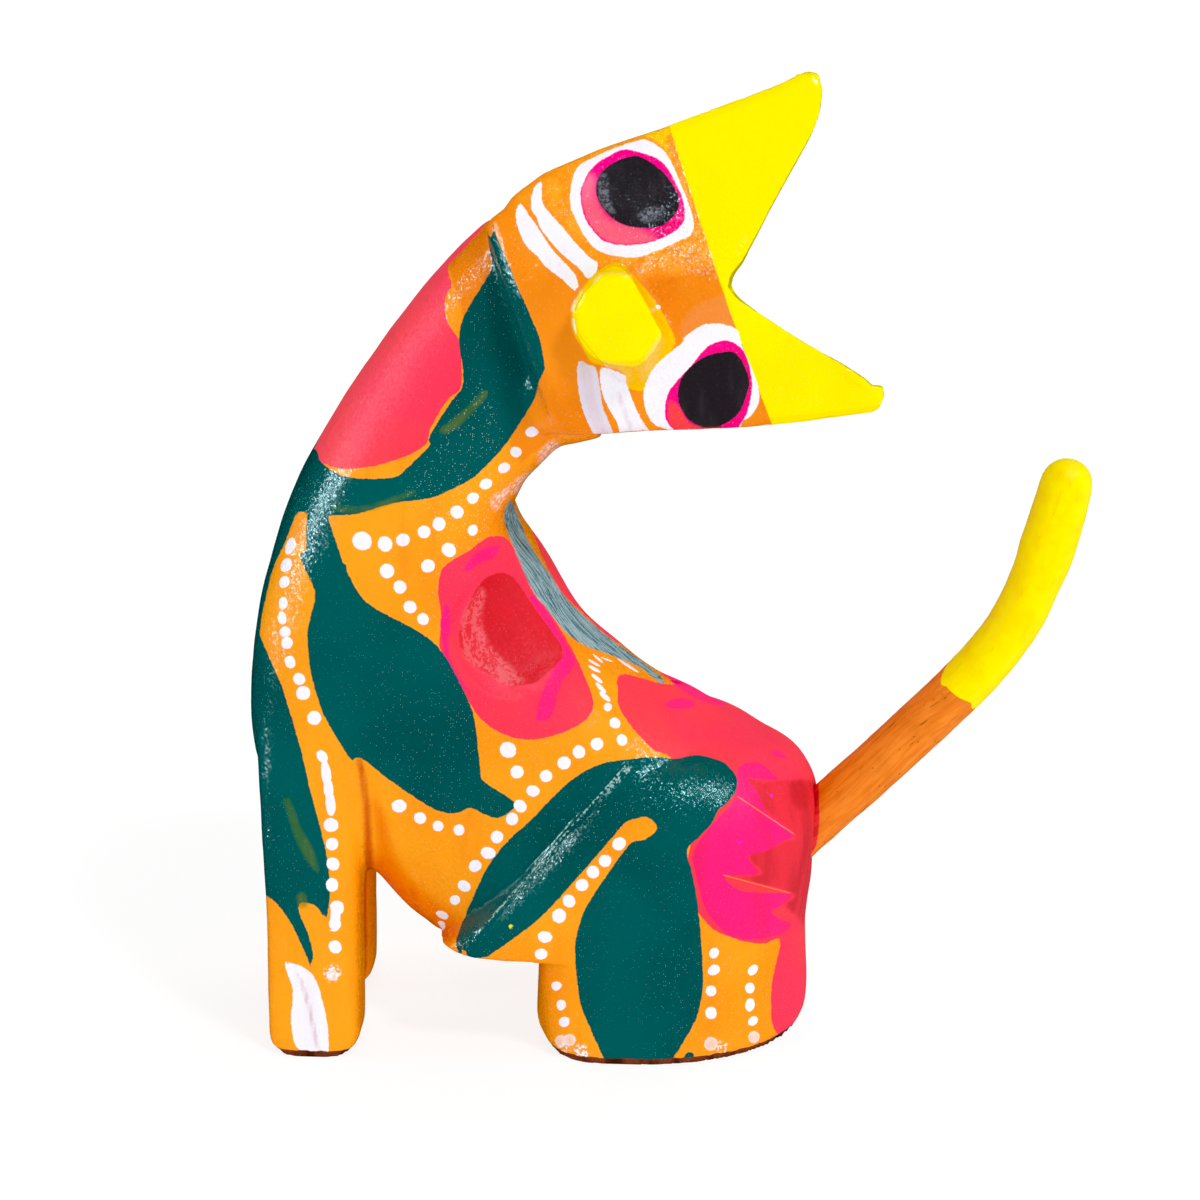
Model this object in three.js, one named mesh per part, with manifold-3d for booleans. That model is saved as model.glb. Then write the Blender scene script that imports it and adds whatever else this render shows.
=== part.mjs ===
// A carved and painted wooden cat that sits up and looks back over its shoulder.
// It is made of two pieces of wood: the cat, cut from one block, and its tail, a bent stick let into the rump.
//
// Millimetres, +Z up. The cat's chest is towards -X, its tail towards +X, and its face looks along -Y.
// The carving is drawn on a height of 96 units. The tail, its socket and the fit between them are real sizes of
// their own.
import * as THREE from "three";
import { ConvexGeometry } from "three/addons/geometries/ConvexGeometry.js";
import { LoftGeometry } from "three/addons/geometries/LoftGeometry.js";
import { mergeVertices } from "three/addons/utils/BufferGeometryUtils.js";
import Module from "manifold-3d";

// Driving dimensions
const HEIGHT = 173; // ear tip to sole
const TAIL_DIAMETER = 9.4;
const TAIL_REACH = 43; // how far the tail's tip lies behind the rump
const TAIL_RISE = 67; // how far the tail's tip lies above its root
const SOCKET_DEPTH = 9;
const FIT_GAP = 0.35; // all round the tail in its socket
const HEAD_ROLL = 20; // degrees from level to the line from chin to ears
const FACE_TILT = 12; // degrees that the face looks upwards
const NOSE_HEIGHT = 6.5; // how far the nose stands out from the face

const wasm = await Module();
wasm.setup();

const DRAWN_HEIGHT = 96;
const share = (units) => (units * HEIGHT) / DRAWN_HEIGHT;
const radians = THREE.MathUtils.degToRad;

// How finely the round forms are faceted
const TRUNK_POINTS = 28;
const LEG_POINTS = 20;
const HAUNCH_POINTS = 36;
const TAIL_POINTS = 20;
const TAIL_STEPS = 28;
const HOLLOW_POINTS = 24;
const ARCH_POINTS = 6;
const SAME_POINT = 1e-4;

// A closed three.js geometry as a solid that can be joined and cut.
function solidOf(geometry) {
  const bare = new THREE.BufferGeometry();
  bare.setAttribute("position", geometry.attributes.position);
  bare.setIndex(geometry.index);
  const merged = mergeVertices(bare, SAME_POINT);
  return new wasm.Manifold(
    new wasm.Mesh({
      numProp: 3,
      vertProperties: merged.attributes.position.array,
      triVerts: new Uint32Array(merged.index.array),
    }),
  );
}

// The solid's surface as a three.js geometry.
function geometryOf(solid) {
  const mesh = solid.getMesh();
  const geometry = new THREE.BufferGeometry();
  geometry.setAttribute("position", new THREE.Float32BufferAttribute(mesh.vertProperties, 3));
  geometry.setIndex(Array.from(mesh.triVerts));
  const flat = geometry.toNonIndexed();
  flat.computeVertexNormals();
  return flat;
}

// A smooth value between rows of a table, with the row number as its parameter.
function rowAt(table, position) {
  const last = table.length - 1;
  const i = Math.min(Math.floor(position), last - 1);
  const t = position - i;
  const before = table[Math.max(i - 1, 0)];
  const from = table[i];
  const to = table[i + 1];
  const after = table[Math.min(i + 2, last)];
  return from.map((value, k) => {
    const slopeIn = (to[k] - before[k]) / 2;
    const slopeOut = (after[k] - value) / 2;
    const rise = to[k] - value;
    return (
      value + t * (slopeIn + t * (3 * rise - 2 * slopeIn - slopeOut + t * (slopeIn + slopeOut - 2 * rise)))
    );
  });
}

// All rows of a table with more rows worked out between them.
function smoothRows(table, between) {
  const rows = [];
  for (let i = 0; i < table.length - 1; i++) {
    for (let k = 0; k < between; k++) rows.push(rowAt(table, i + k / between));
  }
  rows.push(table[table.length - 1]);
  return rows;
}

// One carved section: a rounded rectangle whose four reaches and whose two ends' squareness are given.
// centre, and the unit vectors along and across, place it in space.
function section({ centre, along, across, reach, squareness, points }) {
  const ring = [];
  for (let i = 0; i < points; i++) {
    const angle = (2 * Math.PI * (i + 0.5)) / points;
    const c = Math.cos(angle);
    const s = Math.sin(angle);
    const power = 2 / (c > 0 ? squareness.front : squareness.rear);
    const u = (c > 0 ? reach.front : reach.rear) * Math.sign(c) * Math.abs(c) ** power;
    const v = (s > 0 ? reach.left : reach.right) * Math.sign(s) * Math.abs(s) ** power;
    ring.push(centre.clone().addScaledVector(along, u).addScaledVector(across, v));
  }
  return ring;
}

const loft = (sections) => solidOf(new LoftGeometry(sections, { capStart: true, capEnd: true }));

const X = new THREE.Vector3(1, 0, 0);
const Y = new THREE.Vector3(0, 1, 0);

// The trunk, from inside the head down the neck and chest and round to the rump.
// Chest side x and z, back side x and z, middle y, half depth, squareness on the chest side and on the back side.
const TRUNK = [
  [-9.8, 86.2, -6.7, 60.0, -2.4, 7.0, 2.8, 2.6],
  [-14.2, 83.4, -9.8, 59.0, -2.1, 7.6, 2.8, 2.6],
  [-19.2, 79.4, -12.7, 57.0, -1.8, 8.4, 2.8, 2.6],
  [-24.3, 73.6, -15.1, 54.2, -1.1, 9.6, 2.8, 2.6],
  [-29.4, 66.6, -16.0, 51.4, -0.5, 11.0, 2.7, 2.6],
  [-34.0, 59.4, -15.1, 49.3, 0, 12.1, 2.7, 2.6],
  [-37.6, 52.0, -12.5, 46.1, 0, 12.9, 2.8, 2.6],
  [-40.5, 41.1, -8.3, 40.2, 0, 13.4, 3.4, 2.6],
  [-40.7, 29.4, -2.8, 34.9, 0, 13.3, 4.4, 2.6],
  [-36.8, 21.4, 2.8, 31.5, 0, 12.8, 4.6, 2.6],
  [-30.0, 17.1, 7.4, 29.6, 0, 12.4, 4.0, 2.6],
  [-23.2, 10.3, 10.4, 27.2, 0, 12.0, 4.0, 2.6],
  [-17.8, 10.9, 12.4, 22.7, 0, 11.4, 3.5, 2.6],
  [-12.2, 10.9, 12.6, 17.7, 0, 11.0, 3.0, 2.6],
];

function trunk() {
  const rings = smoothRows(TRUNK, 3).map(([x0, z0, x1, z1, y, depth, chest, back]) => {
    const from = new THREE.Vector3(share(x0), share(y), share(z0));
    const to = new THREE.Vector3(share(x1), share(y), share(z1));
    const half = from.distanceTo(to) / 2;
    return section({
      centre: from.clone().lerp(to, 0.5),
      along: from.clone().sub(to).normalize(),
      across: Y,
      reach: { front: half, rear: half, left: share(depth), right: share(depth) },
      squareness: { front: chest, rear: back },
      points: TRUNK_POINTS,
    });
  });
  return loft(rings);
}

// The front legs. z, front x, rear x, outer y and inner y of the near leg, and squareness.
// The far leg is the same leg mirrored, a little nearer the middle and a little further forward.
const FRONT_LEG = [
  [0, -37.6, -31.0, -15.0, -5.6, 4.0],
  [0.6, -38.5, -30.2, -15.2, -5.1, 4.2],
  [2.0, -38.9, -29.8, -15.3, -5.0, 4.2],
  [11, -38.9, -29.7, -15.0, -5.0, 4.2],
  [18, -39.2, -29.7, -14.6, -4.8, 4.2],
  [24, -39.5, -29.6, -13.6, -4.4, 4.0],
  [31, -39.7, -29.2, -12.3, -3.4, 3.4],
  [39, -38.4, -28.4, -10.2, -3.0, 2.8],
];
const FAR_LEG_INWARD = 3.2;
const FAR_LEG_FORWARD = 0.7;

function frontLeg(side) {
  const inward = side > 0 ? FAR_LEG_INWARD : 0;
  const forward = side > 0 ? FAR_LEG_FORWARD : 0;
  const rings = smoothRows(FRONT_LEG, 2).map(([z, x0, x1, outer, inner, square]) => {
    const middle = -side * (outer + inner) * 0.5 - side * inward;
    const long = share((x1 - x0) / 2);
    const wide = share((inner - outer) / 2);
    return section({
      centre: new THREE.Vector3(share((x0 + x1) / 2 - forward), share(middle), share(z)),
      along: X,
      across: Y,
      reach: { front: long, rear: long, left: wide, right: wide },
      squareness: { front: square, rear: square },
      points: LEG_POINTS,
    });
  });
  return loft(rings);
}

// The haunches: the hind feet from the soles up, then the thighs from the knees up into the back.
// z, front x, rear x, x where it is widest, half depth, squareness in front and behind.
const HIND_FEET = [
  [0, -11.9, 12.4, -4.0, 14.8, 3.4, 2.2],
  [0.6, -12.6, 13.0, -4.0, 15.1, 3.4, 2.2],
  [1.8, -13.2, 13.4, -4.0, 15.2, 3.4, 2.2],
  [4.5, -13.1, 13.4, -4.0, 15.2, 3.6, 2.1],
  [7.5, -12.8, 13.3, -4.3, 15.2, 4.4, 2.1],
  [10.2, -12.6, 13.2, -5.0, 15.1, 5.0, 2.1],
];
const KNEE_FRONT = -22.0;
const THIGHS = [
  [10.4, -20.8, 13.2, -5.0, 15.1, 6.5, 2.1],
  [10.9, KNEE_FRONT, 13.3, -5.0, 15.1, 7.5, 2.1],
  [11.9, -21.6, 13.4, -5.0, 15.0, 8.0, 2.2],
  [15.6, -17.2, 13.8, -4.0, 14.9, 7.0, 2.3],
  [20.6, -12.0, 14.3, -2.0, 14.5, 7.0, 2.4],
  [24.4, -8.8, 13.9, -0.5, 13.7, 6.0, 2.4],
  [27.2, -6.6, 12.0, 0.6, 12.3, 5.0, 2.3],
  [29.2, -5.0, 9.2, 1.2, 10.0, 4.0, 2.2],
  [30.4, -3.2, 6.0, 1.6, 6.0, 3.0, 2.2],
];

function haunches() {
  const rings = [...HIND_FEET, ...smoothRows(THIGHS, 2)].map(([z, x0, x1, middle, depth, front, rear]) =>
    section({
      centre: new THREE.Vector3(share(middle), 0, share(z)),
      along: X.clone().negate(),
      across: Y.clone().negate(),
      reach: { front: share(middle - x0), rear: share(x1 - middle), left: share(depth), right: share(depth) },
      squareness: { front, rear },
      points: HAUNCH_POINTS,
    }),
  );
  return loft(rings);
}

// The head's own frame: u runs from the chin to the ears, v across the face to its upper side, n out of the face.
const HEAD_AT = [-2.6, -13.3, 76.3];
const headFrame = new THREE.Matrix4()
  .makeTranslation(share(HEAD_AT[0]), share(HEAD_AT[1]), share(HEAD_AT[2]))
  .multiply(new THREE.Matrix4().makeRotationX(-radians(FACE_TILT)))
  .multiply(
    new THREE.Matrix4().makeBasis(
      new THREE.Vector3(Math.cos(radians(HEAD_ROLL)), 0, Math.sin(radians(HEAD_ROLL))),
      new THREE.Vector3(-Math.sin(radians(HEAD_ROLL)), 0, Math.cos(radians(HEAD_ROLL))),
      new THREE.Vector3(0, -1, 0),
    ),
  );
const inHead = (u, v, n) => new THREE.Vector3(share(u), share(v), share(n)).applyMatrix4(headFrame);

// u, upper side v, lower side v, bridge centre v, bridge half width, front n, front edges' n, shoulders' n, back n.
// The edge between face and side is bevelled, the side bulges a little, and the back is narrower than the face.
const HEAD = [
  [-12.3, 10.4, -9.5, -0.6, 5.2, -5.0, -6.4, -16.8, -18.0],
  [-11.6, 11.2, -9.8, -0.6, 5.0, -1.2, -3.2, -17.8, -19.4],
  [-10.4, 12.4, -10.2, -0.7, 4.6, 0, -2.6, -18.4, -20.4],
  [-5.0, 14.0, -11.7, -0.9, 4.2, 0, -3.6, -19.6, -21.6],
  [1.4, 14.4, -13.5, -1.4, 3.8, 0, -4.2, -19.6, -21.8],
  [7.6, 14.4, -15.1, -2.8, 1.8, 0, -4.4, -15.6, -16.8],
  [12.0, 14.5, -16.3, -3.0, 1.6, -0.6, -4.6, -8.2, -6.0],
  [22.8, 14.8, -18.5, -3.0, 1.5, -2.2, -5.0, -7.2, -5.0],
];

const FACE_BEVEL = 0.8;
const SIDE_TAPER = 0.3;
const SIDE_MIDDLE = 0.45; // of the way from the face's edge to the shoulder
const SHOULDER_IN = 0.3; // of the way from the side to the bridge
const BACK_HALF = 0.25; // of the way from the bridge to the side

function head() {
  const rings = HEAD.map(([u, top, low, bridge, half, front, edge, shoulder, back]) => {
    const middle = edge + SIDE_MIDDLE * (shoulder - edge);
    return [
      [bridge + half, front],
      [bridge - half, front],
      [low + FACE_BEVEL, edge],
      [low, edge - FACE_BEVEL],
      [low + SIDE_TAPER, middle],
      [low + SHOULDER_IN * (bridge - low), shoulder],
      [bridge - BACK_HALF * (bridge - low), back],
      [bridge + BACK_HALF * (top - bridge), back],
      [top - SHOULDER_IN * (top - bridge), shoulder],
      [top - SIDE_TAPER, middle],
      [top, edge - FACE_BEVEL],
      [top - FACE_BEVEL, edge],
    ].map(([v, n]) => inHead(u, v, n));
  });
  return loft(rings);
}

// The throat, which fills the lower part of the step between face and neck. Corners in u, v and n.
const THROAT = [
  [-11.2, -2.4, -4.0],
  [-10.6, -5.4, -1.8],
  [-10.4, -9.8, -3.0],
  [-9.6, -10.3, -4.8],
  [-10.4, -10.0, -12.0],
  [-15.0, -2.4, -9.0],
  [-18.0, -5.0, -10.0],
  [-16.5, -8.6, -11.0],
  [-14.0, -6.0, -14.0],
];

const throat = () => solidOf(new ConvexGeometry(THROAT.map(([u, v, n]) => inHead(u, v, n))));

// The notch between the ears and the cuts that round their tips, as prisms through the whole head. u and v.
const NOTCH = [
  [8.2, -1.6],
  [13.6, 3.5],
  [20.0, 9.3],
  [21.3, 10.9],
  [22.1, 12.6],
  [26.0, 12.6],
  [26.0, -17.0],
  [18.3, -16.8],
  [18.5, -15.4],
  [17.9, -13.8],
  [15.8, -11.3],
  [11.1, -5.9],
  [8.7, -3.0],
];
const UPPER_EAR_TIP = [
  [22.1, 12.5],
  [22.2, 14.0],
  [21.3, 15.0],
  [19.6, 15.3],
  [19.6, 17.0],
  [26.0, 17.0],
  [26.0, 12.5],
];
const LOWER_EAR_TIP = [
  [18.4, -16.2],
  [17.6, -17.1],
  [16.2, -17.5],
  [16.2, -20.0],
  [26.0, -20.0],
  [26.0, -16.2],
];

const THROUGH_HEAD = 60;

function prism(outline) {
  const shape = new THREE.Shape(outline.map(([u, v]) => new THREE.Vector2(share(u), share(v))));
  const depth = share(THROUGH_HEAD);
  const block = new THREE.ExtrudeGeometry(shape, { depth, bevelEnabled: false });
  block.translate(0, 0, -depth / 2);
  return solidOf(block.applyMatrix4(headFrame));
}

// The nose: a flat front with bevelled sides. u and v of each corner on the face, then of the same corner in front.
const NOSE = [
  [-6.0, 1.4, -5.8, 1.2],
  [-6.4, -1.4, -6.2, -1.0],
  [-5.3, -4.8, -5.0, -4.1],
  [-3.7, -7.6, -3.4, -4.8],
  [-2.1, -7.9, -1.7, -5.2],
  [1.8, -5.1, 0.8, -3.7],
  [2.1, -4.2, 1.1, -3.1],
  [0.3, 3.0, 0.1, 2.4],
  [-2.0, 4.1, -2.1, 3.4],
  [-4.4, 2.9, -4.1, 2.5],
];

const NOSE_ROOT = -2.0; // sunk below the bridge of the face

function nose() {
  const base = NOSE.map(([u, v]) => inHead(u, v, NOSE_ROOT));
  const front = NOSE.map(([, , u, v]) => inHead(u, v, NOSE_HEIGHT / share(1)));
  return loft([base, front]);
}

// The hollow carved in each flank.
const HOLLOW = { x: -15.4, z: 42.6, long: 7.4, wide: 5.4, deep: 5.2, out: 15.0, lean: 24 };

function flankHollow(side) {
  const ball = new THREE.SphereGeometry(1, HOLLOW_POINTS, HOLLOW_POINTS / 2);
  ball.scale(share(HOLLOW.wide), share(HOLLOW.deep), share(HOLLOW.long));
  ball.rotateY(radians(-HOLLOW.lean));
  ball.translate(share(HOLLOW.x), side * share(HOLLOW.out), share(HOLLOW.z));
  return solidOf(ball);
}

// The arch between the hind paws, cut in from under the knees as far back as x = back.
const PAW_CUT = { back: -6.6, half: 2.4, top: 6.0 };

function pawCut() {
  const half = share(PAW_CUT.half);
  const springing = share(PAW_CUT.top) - half;
  const shape = new THREE.Shape();
  shape.moveTo(-half, -springing);
  shape.lineTo(half, -springing);
  shape.lineTo(half, springing);
  shape.absarc(0, springing, half, 0, Math.PI, false);
  const run = { depth: share(PAW_CUT.back - KNEE_FRONT), bevelEnabled: false, curveSegments: ARCH_POINTS };
  const cut = new THREE.ExtrudeGeometry(shape, run);
  cut.rotateX(Math.PI / 2);
  cut.rotateZ(-Math.PI / 2);
  cut.translate(share(PAW_CUT.back), 0, 0);
  return solidOf(cut);
}

// The tail, along a bend from its root in the rump to its tip. Shares of its reach and of its rise.
const TAIL_ROOT = new THREE.Vector3(share(14.4), 0, share(20.7));
const TAIL_BEND = [
  [0, 0],
  [0.36, 0.23],
  [0.7, 0.47],
  [0.88, 0.68],
  [1.0, 1.0],
];
const TIP_ROUNDING = [22, 44, 64, 80]; // degrees round the tip at which it has a ring
const ROUND = { front: 2, rear: 2 };

function tailLine() {
  const out = TAIL_BEND.map(([x, z]) => new THREE.Vector3(x * TAIL_REACH, 0, z * TAIL_RISE).add(TAIL_ROOT));
  const heading = out[1].clone().sub(out[0]).normalize();
  return new THREE.CatmullRomCurve3([out[0].clone().addScaledVector(heading, -SOCKET_DEPTH), ...out]);
}

// A round bar along the tail's line, from one distance along it to another, with its end rounded if asked.
function bar(line, radius, length, rounded) {
  const full = line.getLength();
  const stations = [];
  const straight = rounded ? length - radius : length;
  for (let i = 0; i <= TAIL_STEPS; i++) stations.push([(straight * i) / TAIL_STEPS, radius]);
  if (rounded) {
    for (const angle of TIP_ROUNDING) {
      stations.push([straight + radius * Math.sin(radians(angle)), radius * Math.cos(radians(angle))]);
    }
  }
  const rings = stations.map(([distance, r]) => {
    const heading = line.getTangentAt(distance / full);
    return section({
      centre: line.getPointAt(distance / full),
      along: new THREE.Vector3(heading.z, 0, -heading.x),
      across: Y,
      reach: { front: r, rear: r, left: r, right: r },
      squareness: ROUND,
      points: TAIL_POINTS,
    });
  });
  return loft(rings);
}

function tail() {
  const line = tailLine();
  return bar(line, TAIL_DIAMETER / 2, line.getLength(), true);
}

// The hole in the rump that the tail's root is let into, straight and a little wider and deeper than the tail.
function socket() {
  const heading = tailLine().getTangentAt(0);
  const floor = TAIL_ROOT.clone().addScaledVector(heading, -SOCKET_DEPTH - FIT_GAP);
  const mouth = TAIL_ROOT.clone().addScaledVector(heading, TAIL_DIAMETER);
  const line = new THREE.LineCurve3(floor, mouth);
  return bar(line, TAIL_DIAMETER / 2 + FIT_GAP, line.getLength(), false);
}

const carving = [frontLeg(-1), frontLeg(1), haunches(), nose(), throat()];
const cuts = [flankHollow(-1), flankHollow(1), pawCut(), socket()];
const ears = [prism(NOTCH), prism(UPPER_EAR_TIP), prism(LOWER_EAR_TIP)];
const shapedHead = ears.reduce((whole, piece) => whole.subtract(piece), head());
const joined = carving.reduce((whole, piece) => whole.add(piece), trunk().add(shapedHead));
const cat = cuts.reduce((whole, piece) => whole.subtract(piece), joined);

const paint = (color, roughness) => new THREE.MeshStandardMaterial({ color, roughness, metalness: 0 });

function named(name, solid, material) {
  const mesh = new THREE.Mesh(geometryOf(solid), material);
  mesh.name = name;
  return mesh;
}

const figure = new THREE.Group();
figure.add(named("cat_body", cat, paint(0xf78b1f, 0.45)));
figure.add(named("tail", tail(), paint(0xc9722a, 0.6)));

// The middle of the figure's own box stands over the origin.
const middle = new THREE.Box3().setFromObject(figure).getCenter(new THREE.Vector3());
figure.children.forEach((mesh) => mesh.geometry.translate(-middle.x, -middle.y, 0));

export default figure;
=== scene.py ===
"""A carved and painted wooden cat that sits up and looks back over its shoulder.

Everything is in metres. The painting is drawn as outlines on the 1200 by 1200 picture that the camera sees,
and carried onto the carving from there. The far side gets the same painting, folded over the cat's back.
"""
import math

import bmesh
import bpy
import numpy as np
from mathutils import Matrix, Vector, noise
from mathutils.bvhtree import BVHTree
from mathutils.kdtree import KDTree


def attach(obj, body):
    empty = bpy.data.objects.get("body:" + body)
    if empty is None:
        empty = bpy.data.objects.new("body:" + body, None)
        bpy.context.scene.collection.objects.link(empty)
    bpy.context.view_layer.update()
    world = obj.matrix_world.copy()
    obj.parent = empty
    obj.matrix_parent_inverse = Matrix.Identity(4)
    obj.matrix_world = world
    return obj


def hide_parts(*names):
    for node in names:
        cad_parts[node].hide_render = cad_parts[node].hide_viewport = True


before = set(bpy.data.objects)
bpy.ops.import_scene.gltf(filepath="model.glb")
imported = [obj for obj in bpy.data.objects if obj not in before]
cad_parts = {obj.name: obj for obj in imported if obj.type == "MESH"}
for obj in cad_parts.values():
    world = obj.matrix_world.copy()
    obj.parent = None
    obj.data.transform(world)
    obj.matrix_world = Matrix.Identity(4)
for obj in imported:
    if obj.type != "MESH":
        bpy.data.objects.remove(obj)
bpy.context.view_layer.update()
MM = 0.001

# The camera, and the picture that it sees
PICTURE = 1200
VIEW_AZIMUTH = math.radians(4)
VIEW_ELEVATION = math.radians(18)
VIEW_DISTANCE = 0.9
VIEW_WIDTH = 0.2105  # what the picture spans at the point looked at
LOOK_AT = np.array([-0.01233, 0.00255, 0.0767])
BACK = np.array([
    math.sin(VIEW_AZIMUTH) * math.cos(VIEW_ELEVATION),
    -math.cos(VIEW_AZIMUTH) * math.cos(VIEW_ELEVATION),
    math.sin(VIEW_ELEVATION),
])
RIGHT = np.array([math.cos(VIEW_AZIMUTH), math.sin(VIEW_AZIMUTH), 0.0])
UP = np.cross(BACK, RIGHT)
EYE = LOOK_AT + BACK * VIEW_DISTANCE
PIXELS_PER_METRE = PICTURE / VIEW_WIDTH
PIXEL = 1 / PIXELS_PER_METRE

# The head's own frame: from the chin to the ears, across the face to its upper side, and out of the face
HEAD_AT = np.array([-0.00401, -0.02141, 0.1375])
HEAD_ROLL = math.radians(20)
FACE_TILT = math.radians(12)
EARWARD = np.array([
    math.cos(HEAD_ROLL),
    math.sin(HEAD_ROLL) * math.sin(FACE_TILT),
    math.sin(HEAD_ROLL) * math.cos(FACE_TILT),
])
BROWWARD = np.array([
    -math.sin(HEAD_ROLL),
    math.cos(HEAD_ROLL) * math.sin(FACE_TILT),
    math.cos(HEAD_ROLL) * math.cos(FACE_TILT),
])
FACEWARD = np.cross(EARWARD, BROWWARD)
EAR_PAINT_FROM = 0.01365

# The painting, colour by colour. A point listed twice is a sharp corner.
NECK_PETAL = [
    (494, 215), (481, 230), (475, 248), (464, 260), (453, 274), (451, 280), (456, 283), (447, 293),
    (445, 305), (447, 321), (458, 338), (461, 350), (461, 387), (449, 398), (439, 413), (430, 430),
    (427, 443), (411, 454), (379, 465), (345, 469), (322, 463), (300, 452), (330, 380), (400, 290),
    (455, 232),
]
FLOWER = [
    (494, 536), (510, 542), (536, 590), (561, 630), (577, 659), (592, 695), (593, 706), (586, 720),
    (564, 732), (539, 739), (519, 739), (499, 732), (481, 719), (466, 697), (448, 662), (440, 649),
    (440, 633), (441, 613), (438, 593), (440, 574), (447, 564), (470, 550), (483, 540),
]
RIDGE_STRIP = [
    (527, 516), (534, 536), (541, 554), (552, 576), (562, 593), (586, 616), (609, 637), (646, 659),
    (672, 680), (720, 680), (640, 600), (570, 520), (530, 480),
]
RIDGE_PETAL = [
    (508, 492), (518, 530), (532, 572), (556, 608), (590, 642), (640, 676), (676, 690), (720, 680),
    (640, 600), (570, 520), (530, 480),
]
RUMP = [
    (617, 680), (623, 674), (642, 678), (665, 684), (720, 690), (830, 760), (850, 860), (830, 1070),
    (778, 1034), (771, 1004), (773, 977), (780, 940), (761, 944), (727, 936), (705, 921), (685, 880),
    (700, 790), (670, 757), (653, 749), (630, 725), (618, 704), (618, 690),
]
FLOWER_HEART = [
    (486, 578), (498, 573), (509, 575), (518, 583), (533, 606), (557, 639), (562, 651), (561, 659),
    (549, 671), (536, 682), (519, 685), (506, 682), (468, 659), (460, 646), (460, 627), (474, 593),
    (481, 583),
]
# Painted highlight: a pale, streaky sheen painted on the left wall of the flower's heart.
HEART_SHEEN = [
    (477, 590), (485, 592), (482, 612), (484, 632), (495, 652), (512, 668), (523, 680), (512, 686),
    (490, 677), (468, 660), (460, 643), (461, 624), (468, 604),
]
RUMP_SHADE = [
    (744, 780), (765, 782), (790, 780), (818, 786), (824, 830), (816, 880), (808, 925), (796, 915),
    (785, 905), (792, 893), (723, 875), (762, 874), (747, 855), (781, 842), (796, 836), (767, 813),
]
RUMP_DARK = [(790, 783), (800, 780), (808, 788), (808, 806), (796, 808), (790, 796)]
FAN = [
    (692, 858), (692, 858), (698, 843), (712, 825), (733, 801), (737, 779), (740, 766), (756, 762),
    (767, 768), (779, 780), (779, 780), (745, 778), (745, 778), (757, 792), (767, 813), (784, 825),
    (796, 836), (796, 836), (781, 842), (767, 851), (747, 855), (747, 855), (751, 863), (763, 875),
    (763, 875), (723, 875), (723, 875), (741, 891), (792, 893), (792, 893), (788, 901), (770, 911),
    (770, 911), (777, 918), (793, 923), (793, 923), (784, 932), (764, 938), (747, 939), (729, 935),
    (715, 922), (704, 905),
]
MAGENTA_TOUCHES = [
    [(464, 571), (470, 559), (481, 550), (498, 545), (499, 550), (493, 558), (481, 563), (471, 570)],
    [(446, 604), (450, 610), (450, 630), (448, 646), (453, 666), (470, 694), (448, 667), (441, 626),
     (443, 611)],
    [(529, 598), (534, 596), (549, 616), (569, 649), (575, 662), (569, 673), (561, 683), (552, 714),
     (542, 721), (536, 715), (547, 680), (563, 654), (559, 642), (534, 606)],
    [(664, 670), (690, 684), (722, 698), (724, 706), (700, 700), (676, 686)],
    [(665, 703), (678, 698), (692, 700), (695, 706), (682, 709), (670, 708)],
    [(771, 753), (778, 750), (786, 758), (778, 757)],
]
NECK_BAND = [
    (487, 231), (487, 231), (491, 238), (493, 223), (493, 223), (496, 236), (502, 249), (519, 290),
    (530, 315), (540, 340), (545, 369), (545, 369), (538, 384), (536, 395), (530, 407), (516, 429),
    (501, 450), (474, 477), (454, 488), (430, 498), (390, 504), (356, 514), (328, 515), (296, 512),
    (270, 520), (285, 452), (314, 449), (322, 463), (347, 477), (391, 478), (405, 470), (430, 445),
    (428, 441), (434, 428), (453, 399), (462, 388), (463, 371), (459, 337), (466, 312), (488, 276),
    (492, 263), (490, 254),
]
CHEST_TEAL = [
    (310, 505), (298, 511), (286, 540), (275, 564), (267, 591), (260, 630), (264, 645), (277, 675),
    (285, 696), (300, 747), (309, 785), (320, 827), (327, 858), (330, 892), (326, 923), (326, 923),
    (320, 911), (312, 904), (299, 904), (301, 917), (308, 934), (313, 953), (311, 968), (311, 968),
    (307, 958), (297, 935), (283, 911), (262, 893), (220, 880), (220, 640), (250, 520),
]
FLANK_LEAF = [
    (310, 505), (328, 512), (329, 520), (343, 562), (349, 564), (346, 568), (360, 595), (378, 610),
    (435, 644), (468, 700), (476, 731), (481, 779), (481, 779), (490, 786), (513, 801), (514, 808),
    (505, 815), (497, 818), (486, 815), (471, 808), (458, 813), (448, 813), (430, 807), (391, 781),
    (361, 758), (350, 758), (326, 719), (318, 698), (311, 673), (308, 647), (308, 628), (315, 597),
    (312, 584), (300, 557), (306, 550), (306, 535),
]
HIND_LEAVES = [
    (456, 944), (456, 944), (457, 937), (465, 916), (486, 870), (507, 842), (531, 820), (556, 794),
    (577, 776), (605, 763), (653, 757), (676, 759), (695, 755), (718, 760), (729, 767), (737, 779),
    (735, 792), (727, 803), (718, 810), (712, 823), (699, 837), (687, 850), (692, 873), (698, 908),
    (703, 975), (699, 1010), (690, 1031), (667, 1068), (667, 1068), (607, 1066), (607, 1066), (591, 1030),
    (580, 1001), (575, 955), (577, 934), (583, 914), (596, 891), (629, 845), (640, 841), (651, 836),
    (657, 827), (646, 817), (625, 823), (612, 838), (570, 886), (546, 912), (528, 928), (497, 950),
    (485, 957), (468, 958), (468, 958), (463, 944), (463, 944), (460, 957),
]
STRAY_TEAL = [(686, 1053), (694, 1054), (691, 1062), (683, 1063)]
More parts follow.
